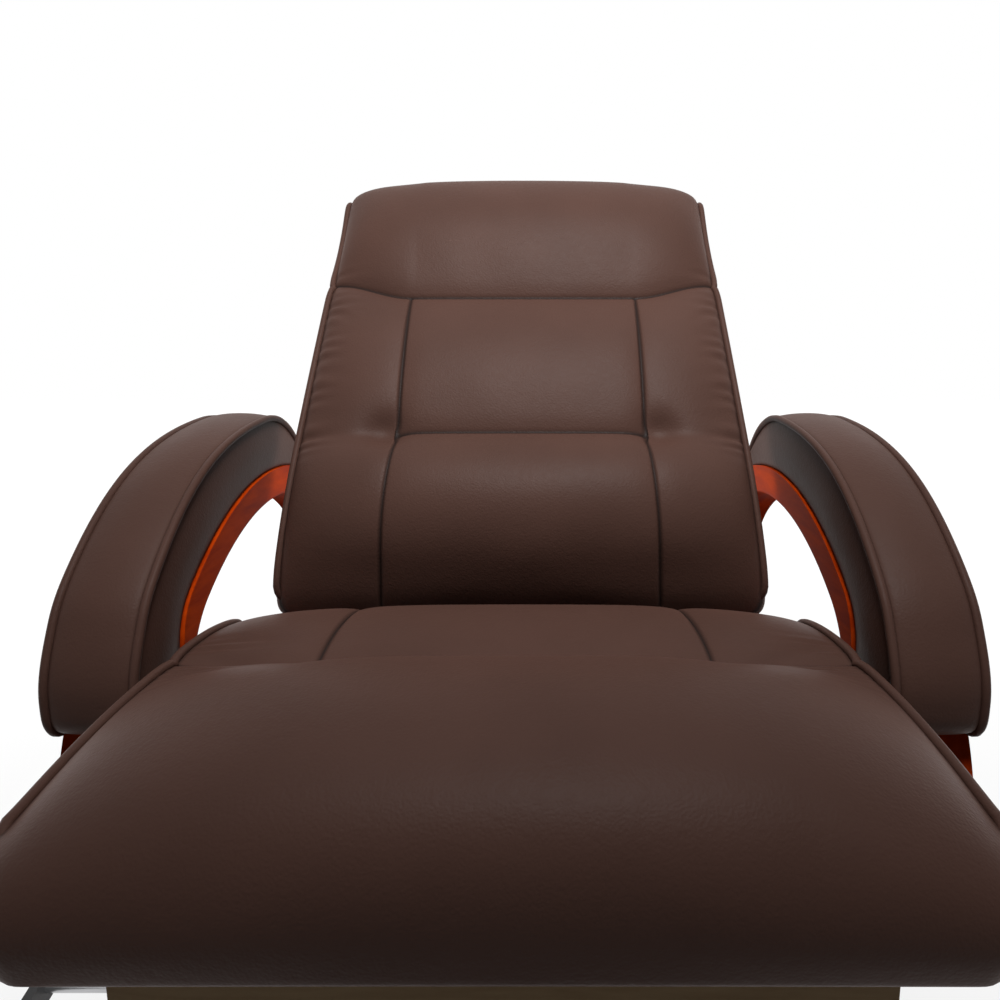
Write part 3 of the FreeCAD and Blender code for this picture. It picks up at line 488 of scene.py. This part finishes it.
# Sewing
def swell(piece, pinned, spare_cloth, most):
    """Blows the cover up as cloth held at its seams, and keeps each point near where it was sewn."""
    before = places(piece.data)
    group = piece.vertex_groups.new(name="sewn")
    group.add(sorted(pinned), 1.0, "REPLACE")
    cloth = piece.modifiers.new("cloth", "CLOTH")
    for name, value in cloth_values.items():
        setattr(cloth.settings, name, value)
    cloth.settings.vertex_group_mass = group.name
    cloth.settings.shrink_min = -spare_cloth
    cloth.settings.effector_weights.gravity = 0
    cloth.collision_settings.use_collision = False
    cloth.point_cache.frame_start = 1
    cloth.point_cache.frame_end = cloth_frames
    scene = bpy.context.scene
    for number in range(1, cloth_frames + 1):
        scene.frame_set(number)
    result = piece.evaluated_get(bpy.context.evaluated_depsgraph_get())
    moved = places(result.data) - before
    piece.modifiers.remove(cloth)
    piece.vertex_groups.remove(group)
    scene.frame_set(1)
    reach = np.linalg.norm(moved, axis=1, keepdims=True)
    moved *= most * np.tanh(reach / most) / np.maximum(reach, tiny)
    set_places(piece.data, before + stretched(piece.data, moved, pinned))


def stretched(mesh, moved, pinned):
    """Pulls the cloth taut: evens out how far neighbouring points moved, apart from those that are sewn."""
    edges = np.empty(len(mesh.edges) * 2, dtype=int)
    mesh.edges.foreach_get("vertices", edges)
    ends = edges.reshape(-1, 2)
    count = np.bincount(edges, minlength=len(moved))[:, None]
    free = np.ones(len(moved), dtype=bool)
    free[sorted(pinned)] = False
    for _ in range(taut_rounds):
        around = np.zeros_like(moved)
        np.add.at(around, ends[:, 0], moved[ends[:, 1]])
        np.add.at(around, ends[:, 1], moved[ends[:, 0]])
        moved[free] = (around / count)[free]
    return moved


def faired(skin, shares, sewn, rows):
    """Lets the close columns beside a seam run straight over rows where it isn't sewn."""
    mesh = skin.piece.data
    points = places(mesh)
    reach = len(seam_steps) + 1
    for c in sewn:
        first, last = c - reach, c + reach
        for r in rows:
            start, end = points[skin.at(first, r)], points[skin.at(last, r)]
            for k in range(first + 1, last):
                share = (shares[k] - shares[first]) / (shares[last] - shares[first])
                points[skin.at(k, r)] = start + (end - start) * share
    set_places(mesh, points)


def press(piece, depth):
    """Moves each point in along its normal by its own depth."""
    mesh = piece.data
    set_places(mesh, places(mesh) - normals(mesh) * depth[:, None])


def groove(distance):
    """Depth of a sewn seam at a distance from its line."""
    sharp = seam_sharp_depth * np.exp(-(distance / seam_sharp) ** 2)
    return sharp + seam_soft_depth * np.exp(-(distance / seam_soft) ** 2)


def paint_seam_shade(piece, distance):
    """Painted shade of the seam line at a distance from it: a dark line that stands for the shade in the seam's
    groove.
    """
    shade = np.exp(-(distance / seam_shade_width) ** 2)
    piece.data.attributes["seam"].data.foreach_set("value", np.clip(shade, 0, 1))


def gathers(along, inward, first, last, size):
    """Depth of the small folds that run in from a piped edge, between two places along it."""
    phase = math.tau * along / gather_pitch
    for waver, rate in gather_waver:
        phase = phase + waver * np.sin(along * rate)
    uneven = gather_mean + gather_swing * np.sin(along * gather_rate + gather_phase)
    strength = np.clip((along - first) / gather_fade, 0, 1) * np.clip((last - along) / gather_fade, 0, 1)
    across = np.exp(-(inward / gather_reach) ** 2) * (1 - np.exp(-(inward / gather_start) ** 2))
    return size * strength * uneven * np.sin(phase) * across


def crease(points, start, end, depth):
    """Depth of one fold seen from above, deepest halfway along its line."""
    line = np.array(end) - np.array(start)
    along = np.clip((points[:, :2] - np.array(start)) @ line / (line @ line), 0, 1)
    away = np.linalg.norm(points[:, :2] - np.array(start) - along[:, None] * line, axis=1)
    return depth * np.sin(math.pi * (crease_start + crease_run * along)) * np.exp(-(away / crease_width) ** 2)


def dimple(points, centre):
    away = np.linalg.norm(points - np.array(centre), axis=1)
    return dimple_depth * np.exp(-(away / dimple_radius) ** 2)


def soften(piece):
    smooth_faces(piece.data)
    finer = piece.modifiers.new("finer", "SUBSURF")
    finer.levels = 1
    finer.render_levels = 1


def tube(name, path, radius, material):
    """Round leather piping along a line of points, with narrower tips."""
    path = [Vector(p) for p in path]
    verts, faces = [], []
    side = Vector((1, 0, 0))
    for i, here in enumerate(path):
        ahead = (path[min(i + 1, len(path) - 1)] - path[max(i - 1, 0)]).normalized()
        side = (side - ahead * side.dot(ahead)).normalized()
        up = ahead.cross(side)
        size = radius * (piping_tip_share if i in (0, len(path) - 1) else 1.0)
        for j in range(piping_sides):
            angle = math.tau * j / piping_sides
            verts.append(here + (side * math.cos(angle) + up * math.sin(angle)) * size)
    for i in range(len(path) - 1):
        for j in range(piping_sides):
            n = (j + 1) % piping_sides
            low, high = i * piping_sides, (i + 1) * piping_sides
            faces.append((low + j, low + n, high + n, high + j))
    faces.append(tuple(reversed(range(piping_sides))))
    faces.append(tuple(range(len(verts) - piping_sides, len(verts))))
    piece = new_piece(name, verts, faces, material)
    smooth_faces(piece.data)
    return piece


def edge_piping(skin, name, column, side, first, last, material):
    """Piping sewn along the upper line of an end column; its two ends run into the cushion."""
    mesh = skin.piece.data
    points, outward = places(mesh), normals(mesh)
    aside = np.array((side * piping_radius * piping_side_share, 0, 0))
    path = []
    for r in range(first, last + 1):
        i = skin.at(column, r)
        sunk = 1 - smooth_step(min(r - first, last - r) / piping_end_rows)
        rise = piping_radius * (piping_rise_share - piping_sunk_share * sunk)
        path.append(points[i] + outward[i] * rise + aside)
    return tube(name, path, piping_radius, material)


def pipe_edges(skin, names, body, first, last, material):
    """Piping on the end columns at -X and at +X, from one row to another."""
    for name, column, side in zip(names, (0, skin.columns - 1), (-1, 1)):
        piping = edge_piping(skin, name, column, side, first, last, material)
        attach(piping, body)


# Materials
def new_material(name):
    material = bpy.data.materials.new(name)
    material.use_nodes = True
    tree = material.node_tree
    return material, tree, tree.nodes["Principled BSDF"]


def add(tree, kind, **values):
    """New node, with values for its inputs or its settings."""
    node = tree.nodes.new(kind)
    for name, value in values.items():
        if name in node.inputs:
            node.inputs[name].default_value = value
        else:
            setattr(node, name, value)
    return node


def object_place(tree):
    return add(tree, "ShaderNodeTexCoord").outputs["Object"]


def pattern(tree, place, kind, **values):
    """New texture or mapping node that takes its coordinates from place."""
    node = add(tree, kind, **values)
    tree.links.new(place, node.inputs["Vector"])
    return node


def ramp(tree, value, stops):
    """Colour that follows a value from one stop to the other."""
    node = add(tree, "ShaderNodeValToRGB")
    for element, (place, colour) in zip(node.color_ramp.elements, stops):
        element.position = place
        element.color = colour
    tree.links.new(value, node.inputs["Fac"])
    return node.outputs["Color"]


def roughen(tree, shader, value, rough):
    """Roughness that follows a value between two limits."""
    limits = add(tree, "ShaderNodeMapRange")
    limits.inputs["To Min"].default_value = rough[0]
    limits.inputs["To Max"].default_value = rough[1]
    tree.links.new(value, limits.inputs["Value"])
    tree.links.new(limits.outputs["Result"], shader.inputs["Roughness"])


def emboss(tree, shader, height, strength, distance):
    bump = add(tree, "ShaderNodeBump", Strength=strength, Distance=distance)
    tree.links.new(height, bump.inputs["Height"])
    tree.links.new(bump.outputs["Normal"], shader.inputs["Normal"])


def leather_material():
    """Pebbled, satin leather: cells of about two millimetres, fine creases, slow changes of tone, and painted
    shade along seams and piped edges.
    """
    material, tree, shader = new_material("leather_brown")
    shader.inputs["Specular IOR Level"].default_value = leather_gloss
    place = object_place(tree)
    tone = pattern(tree, place, "ShaderNodeTexNoise", Scale=9.0, Detail=5.0)
    pebbles = pattern(tree, place, "ShaderNodeTexVoronoi", Scale=520.0, feature="SMOOTH_F1")
    creases = pattern(tree, place, "ShaderNodeTexNoise", Scale=160.0, Detail=6.0, Roughness=0.6)
    colour = ramp(tree, tone.outputs["Fac"], ((0.25, leather_dark), (0.75, leather_colour)))
    # The seam attribute mixes painted shade into the colour along seams and piped edges
    seam = add(tree, "ShaderNodeAttribute", attribute_name="seam")
    shade = add(tree, "ShaderNodeMix", data_type="RGBA")
    shade.inputs["B"].default_value = leather_seam_shade
    tree.links.new(seam.outputs["Fac"], shade.inputs["Factor"])
    tree.links.new(colour, shade.inputs["A"])
    tree.links.new(shade.outputs["Result"], shader.inputs["Base Color"])
    height = add(tree, "ShaderNodeMath", operation="MULTIPLY_ADD")
    height.inputs[1].default_value = leather_pebble_share
    tree.links.new(pebbles.outputs["Distance"], height.inputs[0])
    tree.links.new(creases.outputs["Fac"], height.inputs[2])
    emboss(tree, shader, height.outputs["Value"], strength=0.22, distance=0.0012)
    roughen(tree, shader, creases.outputs["Fac"], leather_rough)
    return material


def wood_material(name, light, dark, grain, gloss):
    """Streaked timber with fine pores."""
    material, tree, shader = new_material(name)
    shader.inputs["Specular IOR Level"].default_value = gloss
    spread = pattern(tree, object_place(tree), "ShaderNodeMapping", Scale=grain).outputs["Vector"]
    streaks = pattern(tree, spread, "ShaderNodeTexNoise", Scale=1.0, Detail=7.0, Roughness=0.62, Distortion=0.4)
    pores = pattern(tree, spread, "ShaderNodeTexNoise", Scale=5.0, Detail=3.0)
    colour = ramp(tree, streaks.outputs["Fac"], ((0.3, dark), (0.7, light)))
    tree.links.new(colour, shader.inputs["Base Color"])
    emboss(tree, shader, pores.outputs["Fac"], strength=0.08, distance=0.0006)
    roughen(tree, shader, streaks.outputs["Fac"], wood_rough)
    return material


def coating_material(name, light, dark, metal, rough, fineness):
    """A fine grit with slow changes of tone and gloss."""
    material, tree, shader = new_material(name)
    shader.inputs["Metallic"].default_value = metal
    place = object_place(tree)
    tone = pattern(tree, place, "ShaderNodeTexNoise", Scale=14.0, Detail=4.0)
    grit = pattern(tree, place, "ShaderNodeTexNoise", Scale=fineness, Detail=3.0)
    colour = ramp(tree, tone.outputs["Fac"], ((0.3, dark), (0.7, light)))
    tree.links.new(colour, shader.inputs["Base Color"])
    emboss(tree, shader, grit.outputs["Fac"], strength=0.12, distance=0.0004)
    roughen(tree, shader, tone.outputs["Fac"], rough)
    return material


def webbing_material():
    """Woven elastic strap with ribs across it."""
    material, tree, shader = new_material("webbing")
    shader.inputs["Roughness"].default_value = webbing_rough
    ribs = pattern(tree, object_place(tree), "ShaderNodeTexWave", Scale=260.0, Distortion=0.3)
    colour = ramp(tree, ribs.outputs["Fac"], ((0.2, webbing_dark), (0.8, webbing_light)))
    tree.links.new(colour, shader.inputs["Base Color"])
    emboss(tree, shader, ribs.outputs["Fac"], strength=0.4, distance=0.0006)
    return material


# Seat
def seam_place(y):
    """Distance of the seat's two seams from the middle: they draw together towards the rear."""
    valley = seat_rear - seat_centre_shares[2][0] * (seat_rear - seat_front)
    run = clamp((y - valley) / (seat_rear - valley))
    return seat_seam_x + (seat_seam_rear_x - seat_seam_x) * run


def seat_x(share, y):
    size = abs(share) * seat_half
    seam = seam_place(y)
    if size <= seat_seam_x:
        x = size * seam / seat_seam_x
    else:
        x = seam + (seat_half - seam) * (size - seat_seam_x) / (seat_half - seat_seam_x)
    return math.copysign(x, share)


def seat_column(share):
    """Upper and lower lines of the seat cushion at one place across it, and its row ends."""
    full = 1 - abs(share) ** seat_power
    edge = max(abs(share) - seat_edge_start, 0) / (1 - seat_edge_start)
    depth_full = seat_rear - seat_front
    rear = seat_rear - seat_edge_draw * edge ** 2 * depth_full / 2
    depth = rear - seat_front - seat_edge_draw * edge ** 2 * depth_full
    low = seat_base + seat_edge_lift * edge ** 2 * seat_thick
    tops = []
    for at_edge, at_centre in zip(seat_edge_shares, seat_centre_shares):
        along, height = mix(at_edge, at_centre, full)
        tops.append((rear - along * depth, seat_base + height * seat_thick))
    rear_top, panel, valley, roll, nose_top = tops
    rear_low = (rear - seat_low_share * depth, low)
    nose_low = (rear - (1 - seat_low_share) * depth, low)
    rear_middle = (rear, (low + rear_top[1]) / 2)
    nose_middle = (rear - depth, (low + nose_top[1]) / 2)
    steps = ((rear_middle, rear_top), (panel, valley), (roll, nose_top), (nose_middle, nose_low))
    upper, ends = profile(rear_low, steps, seat_rows, (1,))
    upper = eased(upper, {ends[1]}, seat_ease_rounds)
    lower = even_line(rear_low, nose_low, len(upper) - 1)
    return [[(seat_x(share, y), y, z) for y, z in line] for line in (upper, lower)], ends


def seat_cover(material):
    """Seat with two seams over its rear panel, a seam along its valley and folds at the valley's ends."""
    seam_share = seat_seam_x / seat_half
    shares = column_shares(seat_columns // 2, seam_share, seat_half)
    columns = [seat_column(t) for t in shares]
    rear_row, valley_row, nose_row, _ = columns[0][1]
    skin = Skin("seat_cover", [lines for lines, _ in columns], *seat_side, material)
    piece = skin.piece
    sewn = seam_columns(shares, seam_share)
    pinned = skin.edges()
    pinned |= {skin.at(c, r) for c in sewn for r in range(rear_row, valley_row + 1)}
    pinned |= {skin.at(c, valley_row) for c in range(skin.columns)}
    swell(piece, pinned, *cushion_cloth)
    faired(skin, shares, sewn, range(valley_row + 1, nose_row))
    points = places(piece.data)
    row = skin.upper_values(lambda c, r: r, -1)
    across = np.abs(np.abs(points[:, 0]) - np.array([seam_place(y) for y in points[:, 1]]))
    distance = np.where((row > 0) & (row <= valley_row), across, far)
    distance = np.minimum(distance, skin.distance_along(valley_row, points))
    inward = np.where(row >= 0, seat_half - np.abs(points[:, 0]), far)
    valley = seat_rear - seat_edge_shares[2][0] * (seat_rear - seat_front)
    folds = gathers(points[:, 1], inward / seat_gather_stretch, valley - seat_gather_ahead,
                    valley + seat_gather_behind, seat_gather_share * gather_depth)
    for start, end, depth in seat_creases:
        folds += np.where(row >= 0, crease(points, start, end, depth), 0)
    press(piece, groove(distance) + folds)
    # Painted shade along the seams and along the piped sides
    paint_seam_shade(piece, np.minimum(distance, inward))
    soften(piece)
    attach(piece, "frame")
    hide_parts("seat_cushion")
    pipe_edges(skin, ("seat_piping_right", "seat_piping_left"), "frame", seat_piping_start, nose_row, material)


# Back
def back_place(x, s, n):
    y = back_origin[0] + s * math.sin(back_lean) - n * math.cos(back_lean)
    z = back_origin[1] + s * math.cos(back_lean) + n * math.sin(back_lean)
    return (x, y, z)


def up_back(points):
    """How far up the back each point is."""
    run, rise = points[:, 1] - back_origin[0], points[:, 2] - back_origin[1]
    return run * math.sin(back_lean) + rise * math.cos(back_lean)


def corner_cut(size, run):
    """How far a rounded corner draws in at a share of the way to its end."""
    return size * (1 - math.sqrt(1 - min(run, 1) ** 2)) * corner_share


def back_half(s):
    """Half width at one height, rounded off at the low corners."""
    up = (s - back_low) / back_length
    half = back_low_half + (back_top_half - back_low_half) * up
    half -= back_waist * math.sin(math.pi * clamp(up))
    short = max(back_low + back_corner_round - s, 0) / back_corner_round
    return half - corner_cut(back_corner_round, short)


def back_seam(s):
    """Distance of the back's two seams from the middle: upright above, spreading below the cross seam."""
    run = clamp((back_seam_turn - s) / (back_seam_turn - back_low))
    return back_seam_x + (back_seam_low_x - back_seam_x) * run


def back_x(share, s):
    size = abs(share)
    seam = back_seam(s)
    if size <= back_seam_share:
        x = seam * size / back_seam_share
    else:
        x = seam + (back_half(s) - seam) * (size - back_seam_share) / (1 - back_seam_share)
    return math.copysign(x, share)


def back_column(share):
    """Upper and lower lines of the back cushion at one place across it, and its row ends."""
    outer = max(abs(share) - back_seam_share, 0) / (1 - back_seam_share)
    points = []
    for i, (at_edge, at_centre) in enumerate(zip(back_edge_shares, back_centre_shares)):
        along, depth = mix(at_edge, at_centre, fullness(share, back_powers[i]))
        if i >= back_top_row:
            along = mix(at_edge, at_centre, fullness(share, back_top_power))[0]
        points.append((back_low + along * back_length, (depth - 1) * back_thick))
    low, under, lumbar_low, lumbar, low_seam, panel, high_seam, head, top_front, top, top_rear = points
    high_seam = (high_seam[0] + back_seam_rise * smooth_step(outer), high_seam[1])
    steps = ((under, lumbar_low), (lumbar, low_seam), (panel, high_seam), (head, top_front), (top, top_rear))
    upper, ends = profile(low, steps, back_rows, (1, 2))
    kept = {ends[2]} if outer > 0 else {ends[1], ends[2]}
    upper = eased(upper, kept, back_ease_rounds)
    low_rear = (back_low, -back_thick)
    lower = [low] + even_line(low_rear, top_rear, len(upper) - 2)
    return [[back_place(back_x(share, s), s, n) for s, n in line] for line in (upper, lower)], ends


def back_cover(material):
    """Back with two upright seams, a dimpled cross seam between them and a seam under the head."""
    shares = column_shares(back_columns // 2, back_seam_share, back_low_half)
    columns = [back_column(t) for t in shares]
    _, cross_row, head_row, _, _ = columns[0][1]
    skin = Skin("back_cover", [lines for lines, _ in columns], *back_side, material)
    piece = skin.piece
    sewn = seam_columns(shares, back_seam_share)
    pinned = skin.edges()
    pinned |= {skin.at(c, r) for c in sewn for r in range(head_row + 1)}
    pinned |= {skin.at(c, cross_row) for c in range(sewn[0], sewn[-1] + 1)}
    pinned |= {skin.at(c, head_row) for c in range(skin.columns)}
    swell(piece, pinned, *cushion_cloth)
    faired(skin, shares, sewn, range(head_row + 1, skin.rows - 1))
    points = places(piece.data)
    row = skin.upper_values(lambda c, r: r, -1)
    in_middle = np.abs(skin.upper_values(lambda c, r: shares[c], 0.0)) <= back_seam_share + same_share
    up = up_back(points)
    across = np.abs(np.abs(points[:, 0]) - np.array([back_seam(s) for s in up]))
    distance = np.where((row > 0) & (row <= head_row), across, far)
    distance = np.minimum(distance, np.where(in_middle, skin.distance_along(cross_row, points), far))
    distance = np.minimum(distance, skin.distance_along(head_row, points))
    inward = np.where(row >= 0, np.array([back_half(s) for s in up]) - np.abs(points[:, 0]), far)
    depth = groove(distance) + gathers(up, inward, *back_gather_span, gather_depth)
    x, y, z = points[skin.at(sewn[0], cross_row)]
    for side in (-1, 1):
        depth += dimple(points, (side * (abs(x) + dimple_radius * dimple_shift), y, z))
    press(piece, depth)
    # Painted shade along the seams and along the piped sides
    paint_seam_shade(piece, np.minimum(distance, inward))
    soften(piece)
    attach(piece, "back")
    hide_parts("back_cushion")
    pipe_edges(skin, ("back_piping_right", "back_piping_left"), "back", back_piping_inset,
               skin.rows - 1 - back_piping_inset, material)


def cover_line(s, crown):
    """Line round the rear shell at one height: up one side, across the rear, down the other."""
    short = max(s - cover_top + cover_corner, 0) / cover_corner
    half = back_half(s) - cover_inset - corner_cut(cover_corner, short)
    rear = cover_rear
    corner = cover_round * (1 - math.sqrt(0.5))
    start = (-half, cover_front)
    steps = (((-half, (cover_front + rear) / 2), (-half, rear + cover_round)),
             ((-half + corner, rear + corner), (-half + cover_round, rear)),
             ((0, rear - crown), (half - cover_round, rear)),
             ((half - corner, rear + corner), (half, rear + cover_round)),
             ((half, (cover_front + rear) / 2), (half, cover_front)))
    line, _ = profile(start, steps, cover_columns, ())
    return line


def rear_shell(material):
    """Upholstered shell with a seam across it, over the rear of the back's frame."""
    height = cover_top - cover_low
    seam = round(cover_rows * (cover_seam_s - cover_low) / height)
    size = sum(cover_columns) + 1
    verts, faces = [], []
    for i in range(cover_rows + 1):
        s = cover_low + height * i / cover_rows
        crown = cover_crown * (1 - (2 * i / cover_rows - 1) ** cover_crown_power)
        pull = cover_pull * smooth_step((i - cover_rows + cover_pull_rows) / cover_pull_rows)
        for x, n in cover_line(s, crown):
            verts.append(back_place(x * (1 - pull), s, n + pull * (n < cover_pull_depth)))
    for i in range(cover_rows):
        for j in range(size - 1):
            a = i * size + j
            faces.append((a, a + 1, a + size + 1, a + size))
    faces.append(tuple(range(cover_rows * size, len(verts))))
    piece = new_cover("rear_shell", verts, faces, material)
    run = np.repeat(np.arange(cover_rows + 1), size)
    distance = np.abs(run - seam) * height / cover_rows
    press(piece, groove(distance) * cover_seam_share)
    # Painted shade along the cross seam
    paint_seam_shade(piece, distance)
    thick = piece.modifiers.new("thick", "SOLIDIFY")
    thick.thickness = cover_skin
    thick.offset = -1
    soften(piece)
    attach(piece, "back")
    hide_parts("back_rear_cover")


# Arm pads
def front_round(radius, y, level):
    """Centre, radius and joining angle of the round from the big arc down to the upright front."""
    run = pad_centre[0] - y
    rise = level - pad_centre[1]
    size = (radius ** 2 - run ** 2 - rise ** 2) / (2 * (radius - run))
    centre = (y + size, level)
    return centre, size, math.degrees(math.atan2(rise, centre[0] - pad_centre[0]))


def pad_filled(point):
    """Extra stuffing over the bend of the arm and at the foot of its front."""
    y, z = point
    run, rise = y - pad_centre[0], z - pad_centre[1]
    radius, degrees = math.hypot(run, rise), math.degrees(math.atan2(rise, run))
    bend = clamp((degrees - pad_fill_angles[0]) / (pad_fill_angles[1] - pad_fill_angles[0]))
    radius += pad_fill * math.sin(math.pi * bend) ** 2
    y, z = polar(pad_centre, radius, degrees)
    on_front = y < pad_inner_front - pad_fill_ahead
    return (y - pad_fill * smooth_step((pad_fill_level - z) / pad_fill_run) * on_front, z)


def pad_x(share, mirror, y):
    """The outer side of a pad draws in towards its rear."""
    run = clamp((y - pad_taper_start) / (pad_taper_end - pad_taper_start))
    outward = (1 + share * mirror) / 2
    return mirror * (pad_middle_x - pad_taper * run * outward) + share * pad_half


def pad_column(share, mirror):
    """Upper and lower lines of a pad at one place across it."""
    rise = pad_crown * ((1 + pad_edge_drop) * fullness(share, pad_crown_power) - pad_edge_drop)
    outer_radius = pad_outer + rise
    outer_y = pad_front - rise
    inner, inner_size, inner_angle = front_round(pad_inner, pad_inner_front, pad_level)
    outer, outer_size, outer_angle = front_round(outer_radius, outer_y, pad_level)
    corner = (outer_y + pad_end_round, pad_low + pad_end_round)
    start = (pad_inner_front, pad_low)
    corner_low = (corner[0], pad_low)
    upright_low = (outer_y, corner[1])
    upright_high = (outer_y, pad_level)
    inner_high = (pad_inner_front, pad_level)
    rear = polar(pad_centre, outer_radius - pad_rear_radius, pad_round_angle)
    rear_tip = polar(rear, pad_rear_radius, pad_tip_angle)
    inner_end = polar(pad_centre, pad_inner, pad_rear_angle)
    tip = polar(halfway(inner_end, rear_tip), pad_bulge, pad_rear_angle - 90)
    steps = ((halfway(start, corner_low), corner_low),
             turn(corner, pad_end_round, 270, 180),
             (halfway(upright_low, upright_high), upright_high),
             turn(outer, outer_size, 180, outer_angle),
             turn(pad_centre, outer_radius, outer_angle, pad_round_angle),
             turn(rear, pad_rear_radius, pad_round_angle, pad_tip_angle),
             (halfway(rear_tip, tip), tip))
    upper, _ = profile(start, steps, pad_rows, ())
    upper = [pad_filled(point) for point in eased(upper, set(), pad_ease_rounds)]
    low_steps = ((halfway(start, inner_high), inner_high),
                 turn(inner, inner_size, 180, inner_angle),
                 turn(pad_centre, pad_inner, inner_angle, pad_rear_angle),
                 (halfway(inner_end, tip), tip))
    rows_left = len(upper) - 1 - sum(pad_low_rows)
    lower, _ = profile(start, low_steps, (*pad_low_rows, rows_left), ())
    return [[(pad_x(share, mirror, y), y, z) for y, z in line] for line in (upper, lower)]


def arm_pad(side, mirror, material):
    shares = column_shares(pad_columns // 2, None, pad_half)
    columns = [pad_column(t, mirror) for t in shares]
    skin = Skin(side + "_arm_pad_cover", columns, *pad_side, material)
    piece = skin.piece
    swell(piece, skin.edges(), *pad_cloth)
    # Painted shade along the pad's piped edges
    paint_seam_shade(piece, skin.upper_values(lambda c, r: 0.0 if c in (0, skin.columns - 1) else far, far))
    soften(piece)
    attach(piece, "frame")
    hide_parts(side + "_arm_pad")
    pipe_edges(skin, (side + "_arm_piping_low", side + "_arm_piping_high"), "frame", pad_piping_inset,
               skin.rows - 1 - pad_piping_inset, material)


# Stage
def lamp(name, place, aim, width, power, spread, glints):
    light = bpy.data.lights.new(name, "AREA")
    light.shape = "DISK"
    light.size = width
    light.energy = power
    light.spread = math.radians(spread)
    holder = bpy.data.objects.new(name, light)
    holder.visible_glossy = glints
    holder.location = place
    holder.rotation_euler = (Vector(aim) - Vector(place)).to_track_quat("-Z", "Y").to_euler()
    bpy.context.scene.collection.objects.link(holder)


def background_share(tree):
    """One for rays from the camera, mirrors or glass."""
    path = add(tree, "ShaderNodeLightPath")
    seen = add(tree, "ShaderNodeMath", operation="MAXIMUM")
    both = add(tree, "ShaderNodeMath", operation="MAXIMUM")
    tree.links.new(path.outputs["Is Camera Ray"], seen.inputs[0])
    tree.links.new(path.outputs["Is Glossy Ray"], seen.inputs[1])
    tree.links.new(seen.outputs["Value"], both.inputs[0])
    tree.links.new(path.outputs["Is Transmission Ray"], both.inputs[1])
    return both.outputs["Value"]


def choose(tree, share, first, second, output):
    """Sends a mix of two shaders to the output."""
    chosen = add(tree, "ShaderNodeMixShader")
    tree.links.new(share, chosen.inputs["Fac"])
    tree.links.new(first, chosen.inputs[1])
    tree.links.new(second, chosen.inputs[2])
    tree.links.new(chosen.outputs["Shader"], tree.nodes[output].inputs["Surface"])


def make_world():
    world = bpy.data.worlds.new("studio")
    bpy.context.scene.world = world
    world.use_nodes = True
    tree = world.node_tree
    ambient = tree.nodes["Background"]
    ambient.inputs["Color"].default_value = white
    ambient.inputs["Strength"].default_value = ambient_light
    backdrop = add(tree, "ShaderNodeBackground", Color=white, Strength=1.0)
    choose(tree, background_share(tree), ambient.outputs["Background"], backdrop.outputs["Background"],
           "World Output")


def make_floor():
    material, tree, shader = new_material("floor_white")
    shader.inputs["Base Color"].default_value = floor_grey
    shader.inputs["Roughness"].default_value = floor_rough
    glow = add(tree, "ShaderNodeEmission", Strength=floor_glow)
    away = add(tree, "ShaderNodeVectorMath", operation="LENGTH")
    fade = add(tree, "ShaderNodeMapRange", **floor_fade)
    share = add(tree, "ShaderNodeMath", operation="MULTIPLY")
    tree.links.new(object_place(tree), away.inputs[0])
    tree.links.new(away.outputs["Value"], fade.inputs["Value"])
    tree.links.new(background_share(tree), share.inputs[0])
    tree.links.new(fade.outputs["Result"], share.inputs[1])
    choose(tree, share.outputs["Value"], shader.outputs["BSDF"], glow.outputs["Emission"], "Material Output")
    corners = [(x * floor_reach, y * floor_reach, 0) for x, y in ((-1, -1), (1, -1), (1, 1), (-1, 1))]
    floor = new_piece("floor", corners, [(0, 1, 2, 3)], material)


def make_camera():
    data = bpy.data.cameras.new("camera")
    data.lens = camera_lens
    data.sensor_width = camera_sensor
    data.shift_x = camera_shift
    camera = bpy.data.objects.new("camera", data)
    camera.location = camera_place
    camera.rotation_euler = (math.radians(90 - camera_pitch), 0, 0)
    bpy.context.scene.collection.objects.link(camera)
    bpy.context.scene.camera = camera


def dress_frame(finishes):
    """Gives every shown node of the frame the finish of its slot."""
    for row in frame["record"]["subparts"]:
        node = frame["nodes"][row["node"]]
        node.data.materials.clear()
        node.data.materials.append(finishes[row["material_slot"]])


leather = leather_material()
finishes = {
    "leather_brown": leather,
    "wood_amber": wood_material("wood_amber", wood_light, wood_dark, wood_grain, wood_gloss),
    "plywood": wood_material("plywood", ply_light, ply_dark, ply_grain, ply_gloss),
    "webbing": webbing_material(),
}
for name, values in coatings.items():
    finishes[name] = coating_material(name, *values)
dress_frame(finishes)
seat_cover(leather)
back_cover(leather)
rear_shell(leather)
arm_pad("left", 1, leather)
arm_pad("right", -1, leather)

make_world()
make_floor()
for values in lamps:
    lamp(*values)
make_camera()
bpy.context.scene.view_settings.view_transform = "Standard"
